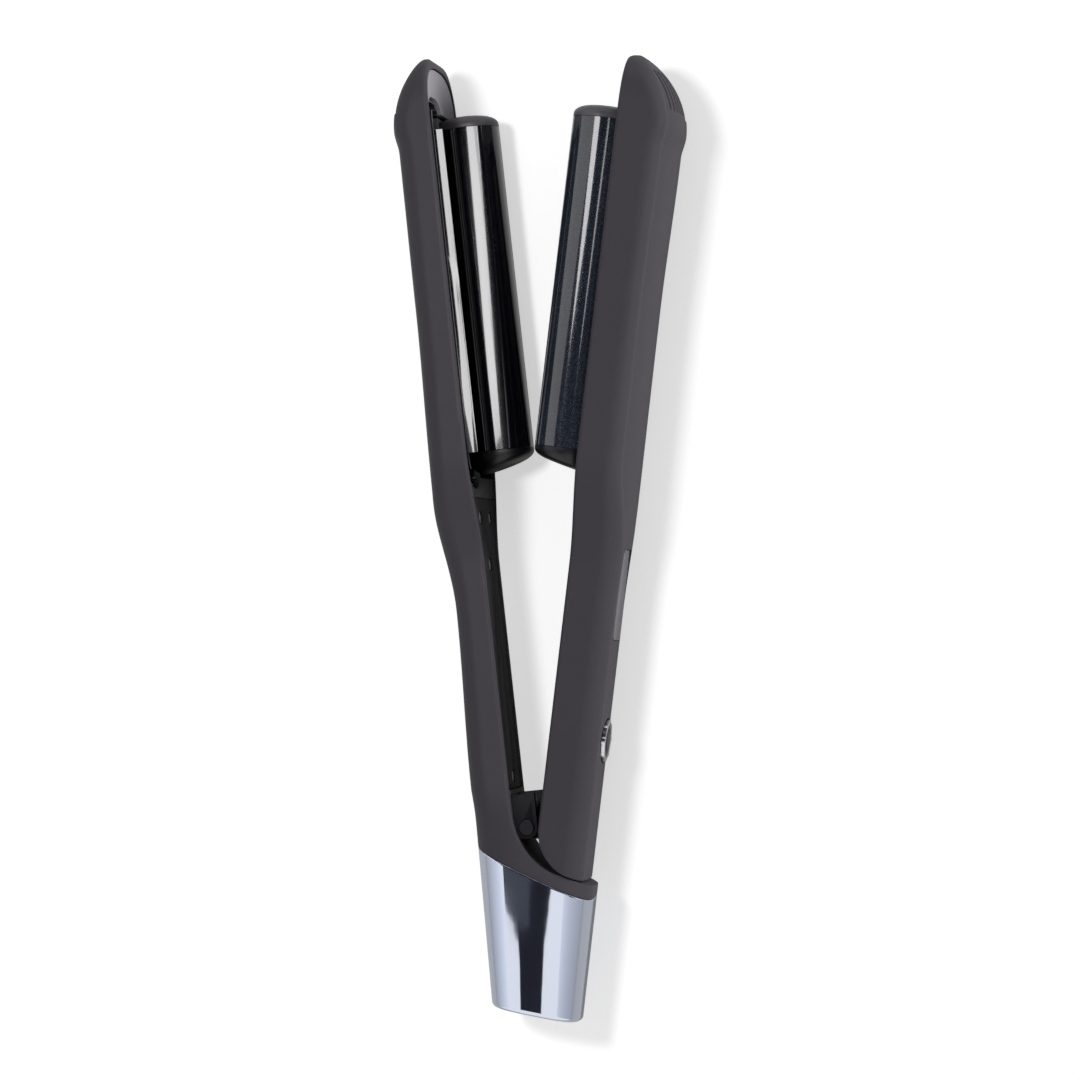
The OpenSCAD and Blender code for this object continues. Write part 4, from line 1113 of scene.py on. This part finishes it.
COIL_R = PIN_R + 0.00025 + WIRE_R
COIL_LEN = 2 * (SPRING_BAY - 0.0003 - WIRE_R)
tree = Growth("arm_spring", Radius=COIL_R, Wire=WIRE_R, Turns=6.5, Height=COIL_LEN)
spiral = tree.node("GeometryNodeCurveSpiral", None, {
    "Resolution": 40, "Rotations": tree.size("Turns"), "Start Radius": tree.size("Radius"),
    "End Radius": tree.size("Radius"), "Height": tree.size("Height")})
coil = tree.tube(spiral, tree.size("Wire"), 14)
lift = tree.node("ShaderNodeCombineXYZ", None,
                 {"X": float(PIN.x), "Y": float(PIN.y), "Z": tree.size("Height") * -0.5})
coil = tree.node("GeometryNodeTransform", None, {0: coil, "Translation": lift})
spring = tree.grow(coil, screw_steel, [(0, 0, 0)])
leg = plug("leg", 0.8 * WIRE_R, (0.0001, WEB_X - 0.00012), lambda a, b, x: (x, COIL_R + a, b), 20)
# The exact solver gives back an empty mesh here
carve(spring, lay(leg, "left"), mode="UNION", solver="MANIFOLD")
fit(spring, "left_arm", "arm_spring", screw_steel)


# ---------------------------------------------------------------- tail cap
# A bright plated cap, moulded in ABS, slips over the heel's plug. Its mouth is cut on a slope
# and its end is rounded round the cord's inlet.

END_SLOPE = math.radians(9.9)
END_ROUND = 0.0014
END_WALL = 0.003
MOUTH_GAP = 0.00012
LIP = 0.0003
BUSHING_R = 0.0076


def chrome_plate():
    finish = Finish("bright_chrome", metallic=1.0)
    film = finish.noise(24.0, 3.0)
    finish.set("Base Color", finish.tint(film, (0.64, 0.68, 0.79), (0.71, 0.75, 0.86)))
    finish.set("Roughness", 0.035 + film * 0.03)
    finish.relief(finish.noise(55.0, 2.0), 0.06, 0.0006)
    return finish


angles = even_angles(241)
mouth = SEAM_Y - MOUTH_GAP
rows = [(END_ROUND * (1 - math.cos(q)), END_SLOPE, 0, END_ROUND * (1 - math.sin(q)))
        for q in np.radians(np.arange(0, 91, 10))]
rows += [(END_ROUND + 0.0003, END_SLOPE, 0, 0), (mouth - LIP - 0.0003, SEAM_SLOPE, SEAM_LEAN, 0)]
rows += [(mouth - LIP * (1 - math.sin(q)), SEAM_SLOPE, SEAM_LEAN, LIP * (1 - math.cos(q)))
         for q in np.radians(np.arange(0, 91, 22.5))]
tail = skin("tail", [tail_ring(*row, angles) for row in rows])
inlet = BUSHING_R + OVERCUT
carve(tail, skin("inside", [tail_ring(END_WALL, END_SLOPE, 0, CAP_WALL, angles),
                            tail_ring(SEAM_Y + 0.003, SEAM_SLOPE, SEAM_LEAN, CAP_WALL, angles)]),
      lathe("inlet", [(0, -0.02), (inlet, -0.02), (inlet, 0.02), (0, 0.02)]))
fit(tail, "left_arm", "tail_cap", chrome_plate(), 24)


# ---------------------------------------------------------------- cord gland
# The cord's inlet is a short moulded nylon sleeve that swivels in a bushing inside the tail. The
# sleeve's flange lies behind the bushing and keeps it from being pulled out.

GLAND_R = 0.0052
GLAND_LEN = 0.013
GLAND_FLANGE_R = 0.007
CORD_R = 0.0032
BUSHING_Y = 0.0006
BUSHING_LEN = 0.007
BUSHING_FLANGE = (0.005, 0.0012)
GLAND_FLANGE_T = 0.0016

gland_nylon = mould("gland_nylon", (0.016, 0.016, 0.018), (0.026, 0.026, 0.029), 0.3)
bore = GLAND_R + 0.00006
top = BUSHING_Y + BUSHING_LEN
step, rim = BUSHING_Y + BUSHING_FLANGE[0], BUSHING_R + BUSHING_FLANGE[1]
bushing = lathe("bushing", [(bore, BUSHING_Y), (BUSHING_R - 0.0003, BUSHING_Y),
                            (BUSHING_R, BUSHING_Y + 0.0003), (BUSHING_R, step), (rim, step),
                            (rim, top), (bore, top)])
fit(bushing, "left_arm", "gland_bushing", gland_nylon)
low = top + FIT_GAP
high = low + GLAND_FLANGE_T
sleeve = lathe("sleeve", [(CORD_R, 0.0005), (CORD_R + 0.0005, 0), (GLAND_R - 0.0004, 0),
                          (GLAND_R, 0.0004), (GLAND_R, low), (GLAND_FLANGE_R, low),
                          (GLAND_FLANGE_R, high), (GLAND_R, high), (GLAND_R, GLAND_LEN),
                          (CORD_R, GLAND_LEN)])
fit(sleeve, "cord_swivel", "cord_gland", gland_nylon)


# ---------------------------------------------------------------- display
# A smoked plastic window lies flush in the right arm's back. Under it stands a display module on
# the circuit board, which also carries the dial's encoder and the button's switch.

WINDOW_T = 0.0012
WINDOW_REACH = 0.009

smoked = Finish("smoked_window")
smoked.set("Specular IOR Level", 0.14)
haze = smoked.noise(80.0, 3.0)
smoked.set("Base Color", smoked.tint(haze, (0.085, 0.080, 0.092), (0.12, 0.115, 0.13)))
smoked.set("Roughness", 0.10 + haze * 0.08)
crown = BACK_X - CROWN_R
low, high = WINDOW_Y - 0.001, WINDOW_Y + WINDOW_LEN + 0.001
sheet = [(CROWN_R, low), (CROWN_R, high), (CROWN_R - WINDOW_T, high), (CROWN_R - WINDOW_T, low)]
arc = np.linspace(-1, 1, 61) * math.asin(WINDOW_REACH / CROWN_R)
window = skin("window", np.array([[(crown + r * math.cos(q), y, r * math.sin(q))
                                   for r, y in sheet] for q in arc]))
carve(window, slab("edge", window_edge(0), BACK_X - 0.006, BACK_X + 0.002), mode="INTERSECT")
fit(lay(bevel(window, 0.00015), "right"), "right_arm", "display_window", smoked)

solder_mask = Finish("solder_mask")
solder_mask.set("Base Color", solder_mask.tint(solder_mask.noise(260.0), (0.018, 0.10, 0.045),
                                               (0.03, 0.15, 0.07)))
solder_mask.set("Roughness", 0.35 + solder_mask.noise(500.0) * 0.15)
module_black = mould("module_black", (0.012, 0.012, 0.014), (0.02, 0.02, 0.023), 0.3)
dress(solder_mask, "control_board")
dress(module_black, "display_module", "button_switch")
dress(fuse_steel, "dial_encoder")


# ---------------------------------------------------------------- temperature dial
# The dial is a nylon knob with a bright lobed rim that the thumb turns. The power button
# stands in its middle and moves in the knob's bore.

DIAL_PROUD = 0.0009
RIM_W = 0.0017
RIM_EDGE = 0.0003
LOBES = 8
LOBE_R = 0.002
NOTCH_DEPTH = 0.24
BUTTON_R = 0.0033
BUTTON_GAP = 0.00035
BUTTON_EDGE = 0.0006
BUTTON_PROUD = 0.0002
BUTTON_TRAVEL = 0.0008
SWITCH_T = 0.0016
ENCODER_TOP = BACK_X - 0.005
BUTTON_BASE = BOARD_X + BOARD_T + SWITCH_T + BUTTON_TRAVEL + 0.0001
PLATE_R = DIAL_R - 0.0006
PLATE_T = 0.0016
KNOB_WALL = 0.0012
KNOB_EDGE = 0.0003

dial_nylon = mould("dial_nylon", (0.030, 0.029, 0.032), (0.042, 0.040, 0.044), 0.34)
base = ENCODER_TOP + FIT_GAP
bore = BUTTON_R + BUTTON_GAP
face = DIAL_R - RIM_W - OVERCUT
low = BACK_X - 0.002
high = low + PLATE_T
top = low + 0.0018 + DIAL_PROUD
knob = turned("knob", [(bore, base), (bore + KNOB_WALL, base), (bore + KNOB_WALL, low),
                       (PLATE_R, low), (PLATE_R, high), (face, high), (face, top - KNOB_EDGE),
                       (face - KNOB_EDGE, top), (bore + KNOB_EDGE, top), (bore, top - KNOB_EDGE)],
              dial_axis, 128)
fit(lay(knob, "right"), "dial", "temperature_dial", dial_nylon)

# One lobe's sector of the rim, which Geometry Nodes repeats round the dial
half_turn = math.pi / LOBES
turn = np.linspace(-half_turn, half_turn, 25)
off = (DIAL_R - LOBE_R) * np.sin(turn)
lobe = (DIAL_R - LOBE_R) * np.cos(turn) + np.sqrt(np.maximum(LOBE_R ** 2 - off ** 2, 0))
outer = np.maximum(np.where(np.abs(off) < LOBE_R, lobe, 0), DIAL_R - LOBE_R * NOTCH_DEPTH)
inner = DIAL_R - RIM_W
low, high = BACK_X - 0.0004, BACK_X + DIAL_PROUD
points = []
for q, r in zip(turn, outer):
    rows = [(inner, low), (r, low), (r, high - RIM_EDGE),
            (r - RIM_EDGE * 0.3, high - RIM_EDGE * 0.3), (r - RIM_EDGE, high),
            (inner + RIM_EDGE * 0.5, high), (inner, high - RIM_EDGE * 0.5)]
    points += [(x, s * math.cos(q), s * math.sin(q)) for s, x in rows]
sector = bpy.data.objects.new("sector", bpy.data.meshes.new("sector"))
sector.data.from_pydata(points, [], strips(len(turn), len(rows)))
bpy.context.collection.objects.link(sector)
tree = Growth("dial_rim", Sector=sector, Lobes=LOBES, Height=float(DIAL_Y))
place = tree.node("ShaderNodeCombineXYZ", None, {"Y": tree.size("Height")})
spots = tree.node("GeometryNodePoints", None, {"Count": tree.size("Lobes"), "Position": place})
index = tree.node("GeometryNodeInputIndex")
spin = tree.node("ShaderNodeCombineXYZ", None, {"X": index * (2 * half_turn)})
row = tree.copies(spots, "Sector", Rotation=spin)
row = tree.node("GeometryNodeRealizeInstances", None, {0: row})
row = tree.node("GeometryNodeMergeByDistance", None, {0: row, "Distance": 0.000005})
rim_chrome = plated("rim_chrome", (0.74, 0.74, 0.77), 0.26)
rim = tree.grow(row, rim_chrome, [(0, 0, 0)])
bpy.data.objects.remove(sector)
fit(lay(rim, "right"), "dial", "dial_rim")

top = BACK_X + DIAL_PROUD + BUTTON_PROUD
outline = [(0, BUTTON_BASE), (BUTTON_R, BUTTON_BASE)]
outline += [(BUTTON_R - BUTTON_EDGE * (1 - math.cos(q)), top - BUTTON_EDGE * (1 - math.sin(q)))
            for q in np.radians(np.arange(0, 91, 15))] + [(0, top)]
button = turned("button", outline, dial_axis, 128)
fit(lay(button, "right"), "button", "power_button", dial_nylon)


# ---------------------------------------------------------------- studio
# The tool lies on its side on a white table, under a small key lamp and with a fill low on its
# right for the pieces alone. Two grey flats stand beside it, a dark canopy overhead keeps the
# glossy pieces black, and panels under it draw the highlights on the pieces they are linked to.

TABLE_Z = cad_box[0][2] - 0.0002
pieces = [obj for obj in bpy.data.objects if obj.type == "MESH"]
MIDDLE = Vector((0.0, 0.16, 0.0))
CANOPY_Z = 0.9
PANEL_Z = 0.88
VIEW_DISTANCE = 1.3
VIEW_AZIMUTH = math.radians(9.8)
VIEW_ELEVATION = math.radians(-0.6)
VIEW_ROLL = math.radians(0.22)
VIEW_AIM = Vector((-0.0001, 0.1568, 0.0))
FRAME_PIXELS = 1080
FOCAL_PIXELS = 3915.0
SENSOR_MM = 36


def card(name, outline, height, finish):
    """A flat card of the stage, level at a height, from its outline in rows (x, y)."""
    mesh = bpy.data.meshes.new(name)
    mesh.from_pydata([(x, y, height) for x, y in outline], [], [tuple(range(len(outline)))])
    mesh.materials.append(finish.material)
    obj = bpy.data.objects.new(name, mesh)
    bpy.context.collection.objects.link(obj)
    return obj


def gloss_card(name, outline, height, finish):
    """A card that only shiny surfaces see."""
    obj = card(name, outline, height, finish)
    obj.visible_camera = obj.visible_diffuse = obj.visible_shadow = False
    obj.visible_transmission = obj.visible_volume_scatter = False
    return obj


def shown_white(nodes, *others):
    """1 for camera and transmission rays and for the others named, else 0."""
    shown = nodes.node("ShaderNodeLightPath", output="Is Camera Ray")
    for ray in ("Is Transmission Ray",) + others:
        shown = shown.most(nodes.node("ShaderNodeLightPath", output=ray))
    return shown


table_paint = Finish("table_white", base_color=(0.8, 0.8, 0.8), roughness=0.9)
table_paint.set("Specular IOR Level", 0.0)
table_paint.set("Emission Color", (1.0, 1.0, 1.0))
table_paint.set("Emission Strength", shown_white(table_paint) * 0.55)
card("table", [(-20, -20), (20, -20), (20, 20), (-20, 20)], TABLE_Z, table_paint)


def glow(name, colour, strength):
    """A surface that glows and gives back no light."""
    finish = Finish(name, base_color=(0.0, 0.0, 0.0), roughness=1.0)
    finish.set("Specular IOR Level", 0.0)
    finish.set("Emission Color", colour)
    finish.set("Emission Strength", strength)
    return finish


canopy_felt = glow("canopy_felt", (0.6, 0.62, 0.9), 0.03)
gloss_card("canopy", [
    (-0.48, 0.45), (-0.76, 0.32), (-0.62, 0.10), (-0.62, -0.145), (-0.59, -0.143), (-0.385, -0.134),
    (-0.28, -0.136), (-0.262, -0.146), (-0.264, -0.2), (-0.094, -0.2), (-0.093, -0.166),
    (-0.078, -0.133), (-0.044, -0.12), (0.0, -0.1), (0.02, -0.05), (0.3, 0.02), (1.6, 0.1),
    (1.6, 1.8), (-0.48, 1.8)], CANOPY_Z, canopy_felt)
gloss_card("slate_patch", [
    (-0.57, -0.138), (-0.36, -0.128), (-0.16, -0.118), (-0.15, -0.06), (-0.57, -0.06)],
    PANEL_Z, glow("slate_glow", (0.8, 0.85, 1.0), 0.09))
# The flats stand upright and glow more the higher they reach
for x, top, low, rise in ((-1.3, 1.7, 0.46, 0.34), (1.2, 3.5, 0.46, 0.13)):
    grey, brightest = (0.93, 0.96, 1.03), low + rise * top
    flat_grey = glow("flat_grey", grey, brightest)
    share = (flat_grey.place("Z") * rise + low) * (1 / brightest)
    flat_grey.set("Emission Color", flat_grey.tint(share, (0.0, 0.0, 0.0), grey))
    flat = gloss_card("flat", [(-0.1, -0.7), (top, -0.7), (top, 0.1), (-0.1, 0.1)], x, flat_grey)
    flat.data.transform(Matrix(((0, 0, 1, 0), (0, 1, 0, 0), (1, 0, 0, 0), (0, 0, 0, 1))))


def lit(prefix):
    """A collection of the pieces whose names start so, for the lights that fall on them alone."""
    group = bpy.data.collections.new("lit_" + prefix)
    for obj in pieces:
        if obj.name.startswith(prefix):
            group.objects.link(obj)
    return group


def panel(name, prefix, outline, strength):
    """A softbox panel whose reflection only some pieces show."""
    obj = gloss_card(name, outline, PANEL_Z, glow(name + "_glow", (1.0, 0.99, 1.0), strength))
    obj.light_linking.receiver_collection = lit(prefix)


panel("main_panel", "left", [(-0.28, 0.205), (0.15, 0.262), (0.97, 0.60), (0.125, 0.45)], 9.0)
panel("second_panel", "right", [(-0.36, 0.30), (-0.14, 0.35), (-0.12, 0.46), (-0.50, 0.50)], 7.0)
panel("trough_panel", "left_trough", [
    (0.46, 1.25), (0.68, 1.25), (0.75, 0.50), (0.80, 0.27), (1.30, 0.03), (1.15, -0.05),
    (0.90, -0.12), (0.60, -0.12), (0.56, 0.15), (0.58, 0.40), (0.47, 0.80)], 8.0)
panel("thin_panel", "right", [(0.20, 0.23), (0.23, 0.23), (0.43, 0.36), (0.30, 0.36)], 4.0)


def lamp(name, place, size, power):
    """A rectangular lamp that points at the tool's middle and shows in no reflection."""
    light = bpy.data.lights.new(name, "AREA")
    light.shape = "RECTANGLE"
    light.size, light.size_y = size
    light.energy = power
    holder = bpy.data.objects.new(name, light)
    holder.location = place
    holder.rotation_euler = (MIDDLE - Vector(place)).to_track_quat("-Z", "Y").to_euler()
    holder.visible_glossy = False
    bpy.context.collection.objects.link(holder)
    return holder


lamp("key", (-0.21, 0.34, 1.0), (0.12, 0.16), 4.2)
low_fill = lamp("low_fill", (0.9, 0.36, 0.26), (0.3, 0.3), 11.0)
low_fill.light_linking.receiver_collection = lit("")

world = bpy.data.worlds.new("studio")
bpy.context.scene.world = world
world.use_nodes = True
sky = Nodes(world.node_tree)
background = world.node_tree.nodes["Background"]
sky.feed(background.inputs["Color"], (1.0, 1.0, 1.0))
sky.feed(background.inputs["Strength"], shown_white(sky, "Is Glossy Ray") * 0.68 + 0.32)

away = Vector((math.sin(VIEW_AZIMUTH) * math.cos(VIEW_ELEVATION), math.sin(VIEW_ELEVATION),
               math.cos(VIEW_AZIMUTH) * math.cos(VIEW_ELEVATION)))
level = Vector((math.cos(VIEW_AZIMUTH), 0, -math.sin(VIEW_AZIMUTH)))
across = level * math.cos(VIEW_ROLL) + away.cross(level) * math.sin(VIEW_ROLL)
lens = bpy.data.cameras.new("camera")
lens.sensor_width = SENSOR_MM
lens.lens = SENSOR_MM * FOCAL_PIXELS / FRAME_PIXELS
lens.clip_start = 0.05
camera = bpy.data.objects.new("camera", lens)
camera.location = VIEW_AIM + away * VIEW_DISTANCE
camera.rotation_euler = Matrix((across, away.cross(across), away)).transposed().to_euler()
bpy.context.collection.objects.link(camera)
bpy.context.scene.camera = camera
bpy.context.scene.view_settings.view_transform = "Standard"
